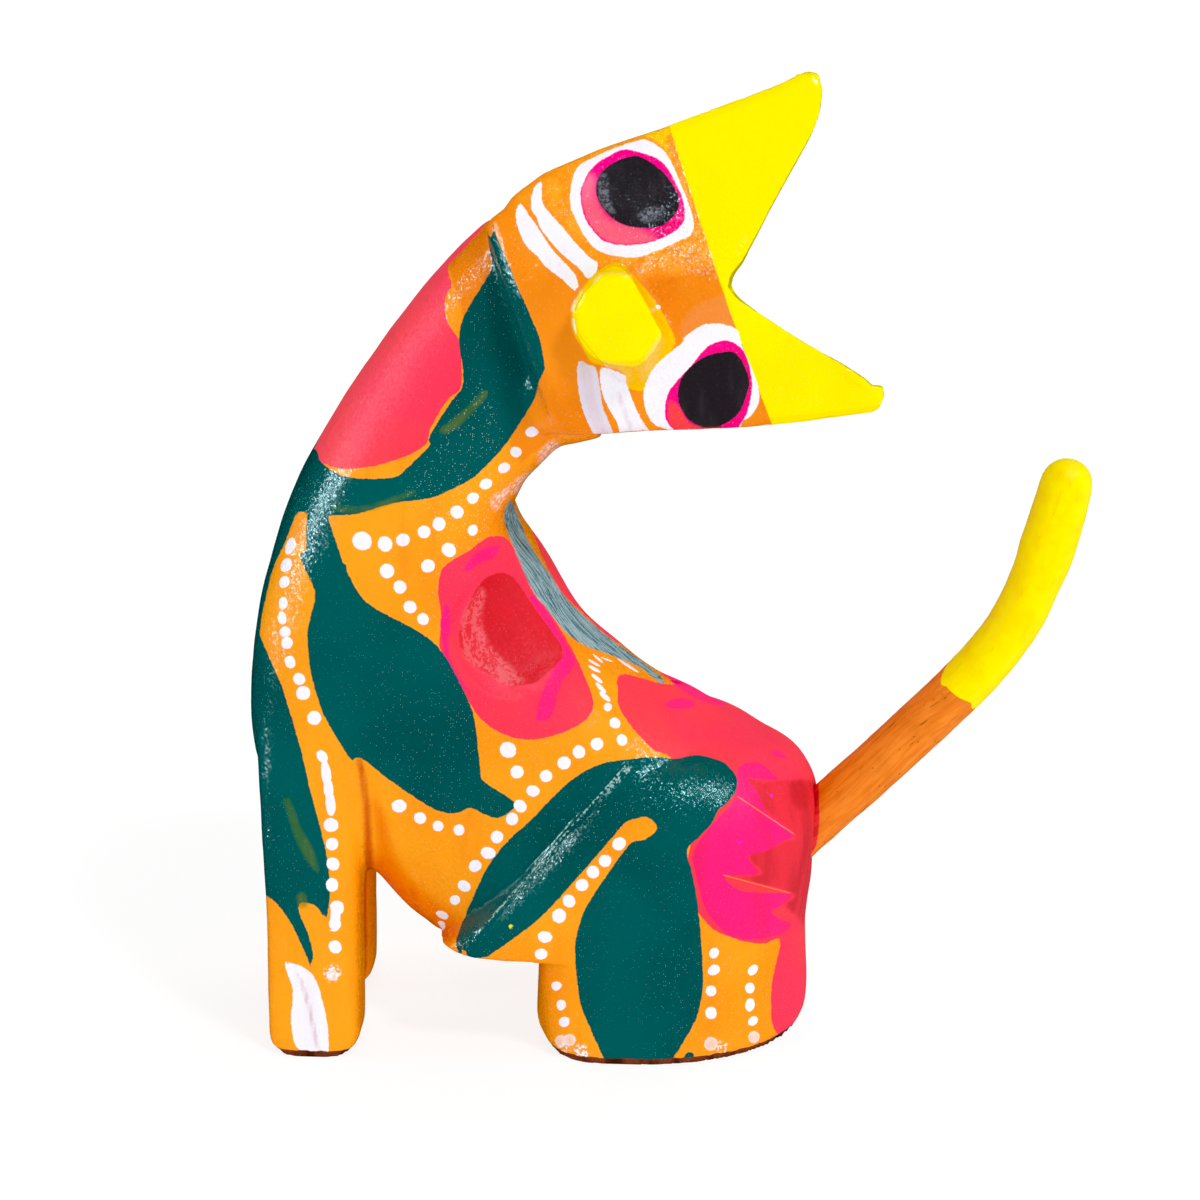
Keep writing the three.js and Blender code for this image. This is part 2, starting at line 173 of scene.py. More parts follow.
OLIVE_STREAKS = [
    [(492, 390), (480, 404), (467, 418), (456, 428), (445, 434), (440, 430), (455, 418), (473, 402),
     (486, 388)],
    [(334, 506), (360, 507), (380, 502), (412, 491), (412, 495), (385, 506), (360, 512), (336, 511)],
    [(284, 802), (290, 800), (301, 828), (313, 850), (319, 872), (311, 866), (297, 842)],
    [(297, 895), (304, 893), (308, 906), (300, 907)],
]
# A stroke along the back, painted pale grey: its tone is partly a painted sheen where the top of the back
# catches light.
BACK_STROKE = [
    (509, 501), (504, 516), (509, 535), (523, 570), (534, 593), (545, 607), (561, 627), (574, 639),
    (586, 646), (613, 656), (639, 667), (659, 682), (665, 683), (665, 683), (660, 676), (640, 660),
    (612, 640), (582, 614), (566, 598), (551, 576), (536, 554), (526, 536), (519, 518), (511, 501),
]
FOOT_PETAL = [
    (285, 962), (294, 964), (303, 967), (314, 977), (322, 999), (328, 1030), (327, 1055), (314, 1055),
    (296, 1046), (291, 1020), (293, 992), (287, 972),
]
YELLOW_SPECK = [(509, 925), (513, 925), (513, 929), (509, 929)]
# Painted shade: the crease between the front leg and the belly painted a darker red-brown; the inner sides
# of the legs get it too.
LEG_CREASE_SHADE = [
    (357, 758), (363, 764), (369, 800), (372, 840), (373, 872), (369, 886), (365, 860), (364, 820),
    (361, 785),
]
PETAL_STREAK = [(297, 974), (303, 980), (312, 1012), (320, 1048), (316, 1050), (309, 1015), (300, 984)]
# Painted shade: the underside of the belly painted a darker orange.
BELLY_SHADE = [
    (372, 800), (378, 850), (374, 880), (396, 904), (424, 928), (448, 940), (462, 925), (436, 904),
    (410, 880), (392, 850), (384, 815),
]
# Painted glints: zones where the pale specks are dense, where the throat and the chest catch highlights.
THROAT_GLINTS = [
    (430, 448), (462, 400), (500, 340), (536, 352), (546, 380), (536, 432), (520, 470), (486, 540),
    (452, 556), (436, 530), (400, 500), (404, 480),
]
CHEST_GLINTS = [(300, 470), (345, 480), (352, 506), (326, 540), (318, 580), (304, 540), (276, 520)]
THROAT_WOOD = [
    [(491, 498), (502, 491), (516, 480), (534, 469), (523, 482), (520, 493), (508, 494), (500, 507),
     (494, 510)],
    [(541, 447), (548, 442), (558, 442), (562, 455), (548, 472), (539, 464), (539, 453)],
]
EYE_WHITES = [
    [(577, 169), (583, 163), (612, 149), (640, 140), (647, 140), (658, 146), (667, 155), (678, 177),
     (693, 218), (690, 236), (680, 240), (661, 249), (638, 257), (615, 256), (597, 250), (586, 238),
     (577, 222), (571, 208), (570, 194), (573, 177)],
    [(706, 324), (735, 328), (742, 346), (751, 367), (759, 390), (758, 404), (751, 416), (742, 422),
     (730, 445), (660, 445), (669, 431), (657, 426), (649, 418), (644, 403), (644, 390), (649, 376),
     (659, 362), (682, 343), (684, 338)],
]
IRISES = [
    [(631, 150), (622, 150), (612, 154), (595, 165), (587, 175), (581, 189), (581, 202), (585, 218),
     (595, 233), (606, 242), (622, 245), (642, 244), (663, 238), (680, 227), (685, 216), (681, 194),
     (668, 169), (656, 158)],
    [(729, 341), (718, 342), (706, 348), (690, 367), (675, 383), (668, 394), (665, 409), (667, 422),
     (675, 431), (680, 440), (725, 438), (742, 422), (749, 406), (752, 384), (749, 365), (742, 349)],
]
IRIS_BLUSH = [
    (580, 180), (580, 208), (594, 234), (620, 246), (656, 242), (640, 229), (610, 220), (596, 200),
    (594, 176),
]
IRIS_EMBER = [(670, 400), (668, 415), (672, 434), (708, 440), (716, 431), (690, 424), (680, 408)]
# Painted highlights: pale glossy patches on the upper pupil, at its left edge and lower right.
PUPIL_HIGHLIGHTS = [
    [(599, 178), (605, 174), (608, 186), (610, 200), (615, 213), (608, 211), (601, 202), (598, 190)],
    [(638, 215), (650, 208), (662, 207), (666, 213), (656, 220), (644, 222)],
]
PUPILS = [
    [(637, 156), (622, 159), (608, 166), (599, 176), (596, 187), (598, 199), (606, 212), (618, 222),
     (632, 227), (647, 228), (663, 225), (676, 213), (679, 199), (674, 187), (663, 172), (650, 162)],
    [(724, 352), (709, 355), (695, 363), (683, 376), (678, 390), (679, 403), (687, 418), (700, 426),
     (713, 428), (728, 422), (740, 411), (747, 393), (749, 380), (743, 363), (735, 353)],
]
OUTER_WHISKERS = [
    [(542, 181), (538, 183), (533, 190), (531, 208), (537, 218), (541, 229), (557, 249), (569, 260),
     (580, 269), (588, 279), (597, 270), (597, 261), (592, 259), (580, 248), (556, 220), (546, 209),
     (542, 200), (542, 189)],
    [(601, 367), (600, 376), (602, 392), (608, 407), (617, 423), (626, 445), (651, 445), (651, 434),
     (640, 417), (632, 399), (627, 385), (624, 375), (609, 369)],
]
INNER_WHISKER = [
    (518, 202), (516, 211), (516, 220), (519, 231), (526, 245), (538, 257), (546, 267), (557, 275),
    (576, 291), (578, 283), (573, 272), (552, 249), (540, 231), (529, 215), (522, 205),
]
# Painted shade: the lower whisker painted a greyer lilac white, as it lies in shade.
SHADED_WHISKER = [
    (580, 360), (577, 368), (578, 386), (581, 403), (587, 421), (601, 445), (617, 445), (609, 423),
    (603, 407), (598, 378), (595, 367), (587, 365),
]
WHISKER_SCRATCHES = [
    [(582, 366), (590, 370), (596, 400), (606, 430), (598, 434), (588, 410)],
    [(617, 396), (621, 395), (631, 425), (628, 428)],
]
# Painted shade: the whole nose is painted amber under its yellow front, so its side bevels show darker.
NOSE = [
    (587, 282), (604, 267), (616, 263), (625, 266), (652, 297), (666, 319), (675, 339), (673, 348),
    (660, 368), (646, 389), (629, 388), (625, 375), (616, 369), (592, 362), (584, 350), (574, 334),
    (572, 311),
]
NOSE_FRONT = [
    (573, 312), (577, 299), (587, 286), (600, 273), (612, 267), (623, 269), (631, 279), (644, 299),
    (653, 317), (661, 334), (658, 343), (649, 357), (636, 366), (618, 365), (602, 361), (587, 351),
    (577, 333),
]
# Painted highlight: the brow and upper face painted lighter and yellower, as a sheen.
BROW_SHEEN = [
    (522, 198), (560, 166), (620, 133), (690, 114), (706, 128), (712, 160), (724, 256), (690, 270),
    (640, 276), (604, 266), (570, 240), (545, 205),
]
EAR_AMBER = [
    (640, 134), (653, 129), (676, 122), (691, 117), (688, 121), (673, 132), (666, 137), (668, 149),
    (684, 194), (676, 175), (665, 150), (655, 140),
]
# Painted shade: the facet below the brow, which faces down, painted a darker orange.
BELOW_BROW = [
    (641, 281), (671, 277), (687, 272), (714, 269), (724, 296), (700, 306), (682, 323), (676, 338),
    (652, 298),
]
CHEEK_TAN = [(700, 304), (731, 296), (737, 325), (706, 323), (684, 336), (682, 323)]

# White dots: radius in pixels, then their middles
DOTS = [
    (9.0, [(362, 541), (290, 546)]),
    (8.0, [(286, 565), (508, 750)]),
    (7.0, [(399, 806), (385, 544), (387, 571), (284, 582), (303, 693), (314, 718), (331, 825), (559, 916),
        (337, 908)]),
    (6.6, [(449, 550), (428, 566), (517, 772), (488, 853), (564, 763)]),
    (6.2, [(420, 818), (532, 432), (516, 452), (504, 468), (486, 484), (473, 498), (457, 512), (439, 524),
        (424, 532), (403, 540), (400, 587), (410, 607), (283, 603), (282, 618), (285, 632), (287, 643),
        (290, 662), (299, 679), (332, 844), (333, 864), (332, 885), (335, 924), (335, 947), (597, 744),
        (579, 752), (546, 776), (533, 791), (520, 806), (512, 819), (497, 837), (475, 866), (464, 886),
        (442, 915), (619, 844), (605, 861), (593, 872), (582, 885), (569, 901), (545, 937), (556, 986),
        (561, 1005), (564, 1022), (711, 1013), (750, 1005)]),
    (5.6, [(423, 619), (438, 826), (459, 830), (455, 900), (442, 925), (541, 954), (714, 953), (714, 970),
        (711, 991), (750, 988), (753, 970), (753, 1021), (615, 723), (473, 530), (622, 740)]),
    (4.5, [(608, 707)]),
    (2.3, [(658, 307)]),
]
# White dashes: from, to, and half the width
DASHES = [
    ((321, 755), (323, 758), 5.4), ((325, 765), (327, 781), 5.0), ((328, 783), (329, 795), 4.8),
    ((330, 797), (331, 811), 4.9), ((336, 906), (335, 926), 5.0), ((602, 694), (608, 699), 3.3),
    ((598, 685), (604, 691), 3.0), ((594, 676), (600, 681), 3.0), ((591, 667), (598, 671), 2.8),
    ((591, 661), (598, 665), 2.6), ((595, 656), (601, 661), 2.6), ((603, 658), (611, 661), 2.0),
    ((621, 661), (635, 670), 4.6), ((572, 314), (576, 333), 1.2),
]
DOT_GROUPS = 4
DOT_REACH = 1.45
DOT_DEPTH = 2.2
MOST_OVAL = 1.16
DASH_STRETCH = 1.6
DOT_SHIFT = 6 * MM

# Small round marks, white ones that are worn or scuffed among them: middle and radius in pixels
SPOTS = {
    "violet": [((771.5, 795.5), 2.0), ((740, 842), 2.4)],
    "worn": [((561, 1041), 6), ((570, 1040), 6), ((711, 1044), 7), ((754, 1037), 6), ((332, 975), 6)],
    "scuff": [((581, 1053), 9), ((722, 1047), 6), ((564, 1046), 6), ((332, 973), 9)],
}

# Straight lines in the picture: the crest of the thigh, the groove beside it, and slits in the fan
LINES = {
    "crest": [((629, 762), (475, 936))],
    "groove": [((590, 798), (520, 877))],
    "slit": [((737, 796), (794, 834)), ((723, 875), (790, 893))],
}


def srgb(red, green, blue):
    """A screen colour, 0 to 255, as the linear colour that a shader takes."""
    def linear(value):
        part = value / 255
        return part / 12.92 if part <= 0.04045 else ((part + 0.055) / 1.055) ** 2.4
    return (linear(red), linear(green), linear(blue), 1.0)


def picture_of(points):
    """Where points of the world are in the picture, in pixels."""
    away = points - EYE
    scale = PIXELS_PER_METRE * VIEW_DISTANCE / -(away @ BACK)
    return np.stack([PICTURE / 2 + (away @ RIGHT) * scale, PICTURE / 2 - (away @ UP) * scale], -1)


def ray_through(pixel):
    """The direction in which the camera sees a pixel."""
    along = RIGHT * (pixel[0] - PICTURE / 2) - UP * (pixel[1] - PICTURE / 2)
    return Vector(along * PIXEL - BACK * VIEW_DISTANCE).normalized()


def smoothstep(low, high, values):
    t = np.clip((values - low) / (high - low), 0, 1)
    return t * t * (3 - 2 * t)


# The painting is folded over at y = 0 in front of CHEST_X, and at FOLD_AT_BACK behind it
HALF_WIDTH = 0.027
FOLD_AT_BACK = 0.014
CHEST_X = (-0.050, -0.020)


def fold_at(x):
    """Where the painting is folded over at this x, and how much wider it is on the near side."""
    fold = FOLD_AT_BACK * smoothstep(*CHEST_X, x)
    return fold, (HALF_WIDTH + fold) / (HALF_WIDTH - fold)


def folded(points):
    """The points with the far side folded over onto the side that the camera sees."""
    fold, slope = fold_at(points[:, 0])
    over = np.maximum(points[:, 1] - fold, 0)
    flat = points.copy()
    flat[:, 1] -= over * (1 + slope)
    return flat


def curve_through(points, closed, steps=8):
    """A smooth line through the points, with corners at points listed twice."""
    p = np.array(points, float)
    count = len(p)
    last = count if closed else count - 1
    line = []
    for i in range(last):
        a = p[i - 1] if closed or i else p[0]
        b = p[i]
        c = p[(i + 1) % count]
        d = p[(i + 2) % count] if closed or i + 2 < count else c
        if np.allclose(b, c):
            continue
        leaving = (c - a) / 2 if not np.allclose(a, b) else np.zeros(2)
        arriving = (d - b) / 2 if not np.allclose(c, d) else np.zeros(2)
        rise = c - b
        for t in np.arange(steps) / steps:
            bend = leaving + arriving - 2 * rise
            line.append(b + t * (leaving + t * (3 * rise - 2 * leaving - arriving + t * bend)))
    if not closed:
        line.append(p[-1])
    return np.array(line)


def inside_by(outline, pixels):
    """How far, in pixels, each pixel lies inside a closed line. It is negative outside."""
    line = curve_through(outline, closed=True)
    nearest = np.full(len(pixels), np.inf)
    inside = np.zeros(len(pixels), bool)
    for (ax, ay), (bx, by) in zip(line, np.roll(line, -1, axis=0)):
        px, py = pixels[:, 0] - ax, pixels[:, 1] - ay
        ex, ey = bx - ax, by - ay
        t = np.clip((px * ex + py * ey) / (ex * ex + ey * ey), 0, 1)
        nearest = np.minimum(nearest, (px - t * ex) ** 2 + (py - t * ey) ** 2)
        crosses = (ay > pixels[:, 1]) != (by > pixels[:, 1])
        if by != ay:
            inside ^= crosses & (px < (pixels[:, 1] - ay) * ex / ey)
    return np.where(inside, 1, -1) * np.sqrt(nearest)


def inside_any(outlines, pixels):
    return np.max([inside_by(outline, pixels) for outline in outlines], axis=0)


# The fine meshes, made from the solids
BODY_VOXEL = 0.76 * MM
TAIL_VOXEL = 0.45 * MM
SAME_PLACE = 1e-6
SHARP = math.radians(24)
CRISP = math.radians(52)
CRISP_EAR = math.radians(24)
EDGE_STEP = 0.25 * MM
ON_FLOOR = 0.4 * MM
ABOVE_BACK = 0.1


def is_ear(place):
    return place.z > ABOVE_BACK and (np.array(place) - HEAD_AT) @ EARWARD > EAR_PAINT_FROM


def linked(name, data):
    """A new object in the scene."""
    made = bpy.data.objects.new(name, data)
    bpy.context.scene.collection.objects.link(made)
    return made


def own_copy(node, name):
    """The node's mesh as an object of its own with its split corners joined, and marks along its edges."""
    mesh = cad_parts[node].data.copy()
    bm = bmesh.new()
    bm.from_mesh(mesh)
    bmesh.ops.remove_doubles(bm, verts=bm.verts, dist=SAME_PLACE)
    bm.to_mesh(mesh)
    sharp = []
    crisp = []
    for edge in bm.edges:
        if len(edge.link_faces) == 2 and edge.calc_face_angle() > SHARP:
            start, end = edge.verts[0].co, edge.verts[1].co
            pieces = max(1, int((end - start).length / EDGE_STEP))
            marks = [start.lerp(end, i / pieces) for i in range(pieces + 1)]
            sharp += marks
            bend = CRISP_EAR if is_ear(start) and is_ear(end) else CRISP
            if edge.calc_face_angle() > bend:
                crisp += marks
    bm.free()
    mesh.materials.clear()
    return linked(name, mesh), sharp, crisp


def voxelled(piece, size):
    """Gives the piece an even fine mesh."""
    step = piece.modifiers.new("even mesh", "REMESH")
    step.mode = "VOXEL"
    step.voxel_size = size
    piece.data = bpy.data.meshes.new_from_object(piece.evaluated_get(bpy.context.evaluated_depsgraph_get()))
    piece.modifiers.clear()
    piece.data.polygons.foreach_set("use_smooth", np.ones(len(piece.data.polygons), bool))


def read_numbers(things, name, kind, width):
    flat = np.empty(len(things) * width, kind)
    things.foreach_get(name, flat)
    return flat.reshape(-1, width)


def points_of(piece):
    return read_numbers(piece.data.vertices, "co", np.float32, 3).astype(float)


def put_points(piece, points):
    piece.data.vertices.foreach_set("co", points.astype(np.float32).ravel())
    piece.data.update()


def normals_of(piece):
    return read_numbers(piece.data.vertex_normals, "vector", np.float32, 3).astype(float)


def edges_of(piece):
    return read_numbers(piece.data.edges, "vertices", np.int32, 2)


def relaxed(points, edges, weights, rounds):
    """The points, each moved towards the middle of its neighbours by its weight, again and again."""
    count = len(points)
    degree = np.bincount(edges.ravel(), minlength=count)[:, None]
    for _ in range(rounds):
        total = np.zeros_like(points)
        for axis in range(3):
            total[:, axis] = np.bincount(edges[:, 0], points[edges[:, 1], axis], count)
            total[:, axis] += np.bincount(edges[:, 1], points[edges[:, 0], axis], count)
        points = points + weights[:, None] * (total / degree - points)
    return points


# Trims of the carved outline, in pixels: where in the picture, how far round it, and the move right and down
BODY_TRIMS = [
    ((500, 208), 13, (2, 6)), ((586, 598), 42, (-4, 3)), ((692, 688), 30, (2, -5)),
    ((762, 718), 27, (-2, 5)), ((518, 496), 15, (4, 0)), ((558, 452), 15, (0, -5)),
    ((806, 70), 26, (0, -4)), ((734, 275), 13, (-4, 0)), ((745, 432), 60, (0, 3)),
    ((253, 735), 40, (-2, 0)), ((402, 896), 30, (-1, 3)),
]
TAIL_TRIMS = [((1006, 535), 45, (-5, -2)), ((1064, 600), 28, (-2, -1))]


def trim(piece, trims):
    """Moves the piece softly where the carving's outline asks for it."""
    points = points_of(piece)
    pixels = picture_of(points)
    moved = points.copy()
    for middle, reach, (right, down) in trims:
        share = np.exp(-(np.linalg.norm(pixels - middle, axis=1) / reach) ** 2)
        moved += share[:, None] * (right * RIGHT - down * UP) * PIXEL
    moved[:, 2] = np.where(points[:, 2] < ON_FLOOR, points[:, 2], moved[:, 2])
    put_points(piece, moved)


# The upper edge of the lower ear in the picture, and how far and how deep the side behind it leans back
NOTCH_EDGE = np.array([(731, 287), (880, 384)])
NOTCH_LEAN = 0.14
NOTCH_DEPTH = 9 * MM


def tuck_notch(piece):
    """Leans the side of the notch back, so that from the front only its edge is seen."""
    points = points_of(piece)
    start, end = NOTCH_EDGE
    length = np.linalg.norm(end - start)
    right, down = (end - start) / length
    offset = picture_of(points) - start
    along = offset @ (right, down)
    across = offset @ (-down, right)
    share = (1 - smoothstep(4, 14, np.abs(across))) * smoothstep(-8, 4, along)
    share *= 1 - smoothstep(length - 8, length + 4, along)
    out = (points - HEAD_AT) @ FACEWARD
    depth = np.clip(out[share > 0.8].max() - out, 0, NOTCH_DEPTH)
    outward = down * RIGHT + right * UP
    put_points(piece, points - (NOTCH_LEAN * share * depth)[:, None] * outward)


def nearest_of(places, points):
    """For every point, which of the places is nearest, and how far it is."""
    tree = KDTree(len(places))
    for i, place in enumerate(places):
        tree.insert(place, i)
    tree.balance()
    found = [tree.find(point) for point in points]
    return np.array([i for _, i, _ in found]), np.array([gap for _, _, gap in found])


def add_number(piece, name, values):
    piece.data.attributes.new(name, "FLOAT", "POINT").data.foreach_set("value", values.astype(np.float32))


def add_vector(piece, name, values):
    made = piece.data.attributes.new(name, "FLOAT_VECTOR", "POINT")
    made.data.foreach_set("vector", values.astype(np.float32).ravel())


# How far from an edge the facets are left and taken out, in how many rounds, and how hard a crisp edge pulls
SOFT_FROM = (0.6 * MM, 4 * MM)
SOFT_ROUNDS = 26
CRISP_PULL = 0.75


def soften(piece, sharp, crisp, voxel):
    """Takes the facets out of the rounded forms, and keeps the carved edges crisp."""
    points = points_of(piece)
    edges = edges_of(piece)
    floor = points[:, 2] < ON_FLOOR
    _, gap = nearest_of(sharp, points)
    near = smoothstep(*SOFT_FROM, gap)
    points = relaxed(points, edges, np.full(len(points), 0.5), 2)
    points = relaxed(points, edges, 0.02 + 0.48 * near, SOFT_ROUNDS)
    mark, gap = nearest_of(crisp, points)
    pull = CRISP_PULL * (1 - smoothstep(0.45 * voxel, 0.95 * voxel, gap))
    points = points + (np.array(crisp)[mark] - points) * pull[:, None]
    points = relaxed(points, edges, 0.2 * (1 - pull), 1)
    points[floor, 2] = 0
    put_points(piece, points)


def carve_unevenly(piece, depth, size):
    """Leaves the low waves of a knife on the surface."""
    points = points_of(piece)
    normals = normals_of(piece)
    long_waves = np.array([noise.noise(Vector(p / size)) for p in points])
    short_waves = np.array([noise.noise(Vector(p / size * 2.7)) for p in points])
    waves = long_waves + 0.4 * short_waves
    waves *= smoothstep(0, 3 * MM, points[:, 2])
    put_points(piece, points + normals * (waves * depth)[:, None])


def outside_heart(marks):
    """The marks that aren't in the scooped heart of the flower."""
    within = inside_by(FLOWER_HEART, picture_of(folded(np.array(marks))))
    return [mark for mark, inside in zip(marks, within) if inside < -7]


HEART_DEPTH = 1.1 * MM


def gouge_heart(piece):
    """Cuts the middle of the flower in with steeper walls, on both flanks."""
    points = points_of(piece)
    within = inside_by(FLOWER_HEART, picture_of(folded(points)))
    points = relaxed(points, edges_of(piece), 0.5 * smoothstep(-8, 2, within), 60)
    put_points(piece, points)
    depth = HEART_DEPTH * smoothstep(-2, 18, within)
    put_points(piece, points - normals_of(piece) * depth[:, None])


# The outlines of each colour, on the body and on the face
BODY_PAINT = {
    "coral": [NECK_PETAL, FLOWER, RIDGE_STRIP, RUMP],
    "crimson": [FLOWER_HEART],
    # painted highlight in the flower's heart
    "painted_heart_sheen": [HEART_SHEEN],
    # painted shade under the belly
    "painted_belly_shade": [BELLY_SHADE],
    "shade": [RUMP_SHADE],
    "dark": [RUMP_DARK],
    "touches": MAGENTA_TOUCHES,
    "magenta": [FAN],
    "teal": [NECK_BAND, CHEST_TEAL, FLANK_LEAF, HIND_LEAVES, STRAY_TEAL],
    "olive": OLIVE_STREAKS,
    "back_stroke_sheen": [BACK_STROKE],
    "white": [FOOT_PETAL],
    "bare": THROAT_WOOD,
    # painted glints on the throat and the chest
    "painted_glints": [THROAT_GLINTS, CHEST_GLINTS],
    "leg_shade": [LEG_CREASE_SHADE],
    "streak": [PETAL_STREAK],
}
FACE_PAINT = {
    "sheen": [BROW_SHEEN],
    # painted shade below the brow
    "brow_shade": [BELOW_BROW],
    "pale": [CHEEK_TAN],
    # amber paint by the ear, and painted shade on the nose's sides
    "amber_and_nose_shade": [EAR_AMBER, NOSE],
    "outer": EYE_WHITES + OUTER_WHISKERS,
    "inner": [INNER_WHISKER],
    "whisker_shade": [SHADED_WHISKER],
    "scratch": WHISKER_SCRATCHES,
    "iris": IRISES,
    "blush": [IRIS_BLUSH],
    "ember": [IRIS_EMBER],
    "black": PUPILS,
    # gloss: the pupils' painted highlights
    "gloss": PUPIL_HIGHLIGHTS,
}
NOT_THERE = -40.0
# Parts of the head, by how far they are out of the face and towards the ears
NOSE_OUT = -0.004
FACE_OUT = -0.016
FACE_EARWARD = -0.030
NAPE_EARWARD = -0.026


def parts_of_head(points, normals):
    """Which points are on the nose, on the face, and on the back of the head."""
    out = (points - HEAD_AT) @ FACEWARD
    earward = (points - HEAD_AT) @ EARWARD
    on_nose = out > NOSE_OUT
    faces_out = (normals @ FACEWARD > 0.2) | on_nose
    on_face = faces_out & (out > FACE_OUT) & (earward > FACE_EARWARD)
    behind = (earward > NAPE_EARWARD) & (points[:, 1] > 4 * MM) & (points[:, 2] > 120 * MM)
    return on_nose, on_face, behind


def body_layers(points, pixels, on_head):
    """How far each point is inside each colour of the body, in pixels."""
    layers = {name: inside_any(outlines, pixels) for name, outlines in BODY_PAINT.items()}
    beyond_ridge = (points[:, 1] - FOLD_AT_BACK) * PIXELS_PER_METRE
    ridge_petal = np.minimum(inside_by(RIDGE_PETAL, pixels), beyond_ridge - 1.5)
    layers["coral"] = np.maximum(layers["coral"], ridge_petal)
    layers["back_stroke_sheen"] = np.minimum(layers["back_stroke_sheen"], -beyond_ridge)
    for name in layers:
        if name != "teal":
            layers[name] = np.where(on_head, NOT_THERE, layers[name])
    return layers


def face_layers(pixels, on_face):
    """How far each point is inside each colour of the face, in pixels."""
    layers = {}
    for name, outlines in FACE_PAINT.items():
        layers[name] = np.where(on_face, inside_any(outlines, pixels), NOT_THERE)
    for name in ("blush", "ember"):
        layers[name] = np.minimum(layers[name], (layers["iris"] - 0.8) * 5)
    layers["face"] = np.where(on_face, 9.0, NOT_THERE)
    return layers


def shaded_between_legs(points, normals):
    """Above 0 on the inner sides of the legs, where a darker painted shade goes."""
    low = (points[:, 0] < -14 * MM) & (points[:, 2] < 58 * MM)
    inward = (-np.sign(points[:, 1]) * normals[:, 1] - 0.45) * 20
    return np.where(low, inward, NOT_THERE)


def inside_spots(spots, pixels):
    return np.max([radius - np.linalg.norm(pixels - middle, axis=1) for middle, radius in spots], axis=0)


def paint_numbers(piece):
    """Gives every point of the carving its distance inside each colour of the painting."""
    points = points_of(piece)
    normals = normals_of(piece)
    pixels = picture_of(folded(points))
    on_nose, on_face, behind = parts_of_head(points, normals)
    layers = body_layers(points, pixels, on_face | behind)
    layers.update(face_layers(pixels, on_face))
    # Painted shade in the leg's crease and on the inner sides of the legs
    layers["leg_shade"] = np.maximum(layers["leg_shade"], shaded_between_legs(points, normals))
    ear = ((points - HEAD_AT) @ EARWARD - EAR_PAINT_FROM) * PIXELS_PER_METRE
    nose = np.where(on_nose, inside_by(NOSE_FRONT, pixels), NOT_THERE)
    layers["yellow"] = np.maximum(np.maximum(ear, nose), inside_by(YELLOW_SPECK, pixels))
    layers["rim"] = np.minimum(ear, (0.08 - np.abs(normals @ FACEWARD + 0.25)) * 40)
    # Painted glints also on the brow's painted sheen, but not on the iris or the yellow
    brow_glints = np.minimum(layers["sheen"], -8 * np.maximum(layers["iris"], layers["yellow"]))
    layers["painted_glints"] = np.maximum(layers["painted_glints"], brow_glints)
    for name, spots in SPOTS.items():
        layers[name] = inside_spots(spots, pixels)
    for name, values in layers.items():
        add_number(piece, name, values)
    for name, lines in LINES.items():
        add_line(piece, name, lines, pixels)


def add_line(piece, name, lines, pixels):
    """How far every point is across, along and past the nearest of some straight lines, in pixels."""
    gaps = []
    frames = []
    for start, end in lines:
        start, end = np.array(start, float), np.array(end, float)
        length = np.linalg.norm(end - start)
        along = (pixels - start) @ (end - start) / length
        across = (pixels - start) @ np.array([start[1] - end[1], end[0] - start[0]]) / length
        past = np.abs(along - length / 2) - length / 2
        gaps.append(np.maximum(np.abs(across), past))
        frames.append(np.stack([across, along, past], -1))
    nearest = np.argmin(gaps, axis=0)
    add_vector(piece, name, np.array(frames)[nearest, np.arange(len(pixels))])
    add_number(piece, f"{name}_gap", np.min(gaps, axis=0))


def reach_on_surface(tree, hit, normal, middle, aim, most=1.0):
    """The step on the surface that the step aim in the picture points along, at most so much longer."""
    tip, _, _, _ = tree.ray_cast(Vector(EYE), ray_through(middle + aim))
    flat = Vector(RIGHT * aim[0] - UP * aim[1]) * PIXEL
    step = tip - hit if tip is not None and (tip - hit).length < 4 * flat.length else flat
    step = step - normal * step.dot(normal)
    return step.normalized() * min(max(step.length, flat.length), most * flat.length)


def dot_middles(tree):
    """The middle, normal and two half axes of every dot and dash, on both sides of the cat."""
    rng = np.random.default_rng(11)
    marks = [(pixel, pixel, radius) for radius, row in DOTS for pixel in row] + DASHES
    dots = []
    for start, end, radius in marks:
        middle = (np.array(start) + end) / 2
        hit, normal, _, _ = tree.ray_cast(Vector(EYE), ray_through(middle))
        if hit is None:
            continue
        angle = rng.uniform(0, math.pi)
        aim = np.array([math.cos(angle), math.sin(angle)]) * radius
        aim *= rng.uniform(1.0, MOST_OVAL)
        if start != end:
            half = (np.array(end) - start) / 2
            aim = half * (1 + radius / np.linalg.norm(half))
        across = np.array([-aim[1], aim[0]]) * radius / np.linalg.norm(aim)
        long = reach_on_surface(tree, hit, normal, middle, aim, 1.0 if start == end else DASH_STRETCH)
        wide = reach_on_surface(tree, hit, normal, middle, across)
        dots.append((hit, normal, long, wide))
        fold, slope = fold_at(hit.x)
        mirrored = Vector((hit.x, fold + (fold - hit.y) / slope, hit.z))
        place, far_normal, _, gap = tree.find_nearest(mirrored)
        if far_normal.y > 0 and gap < DOT_SHIFT:
            flip = Vector((1, -1, 1))
            dots.append((place, far_normal, long * flip, wide * flip))
    return dots


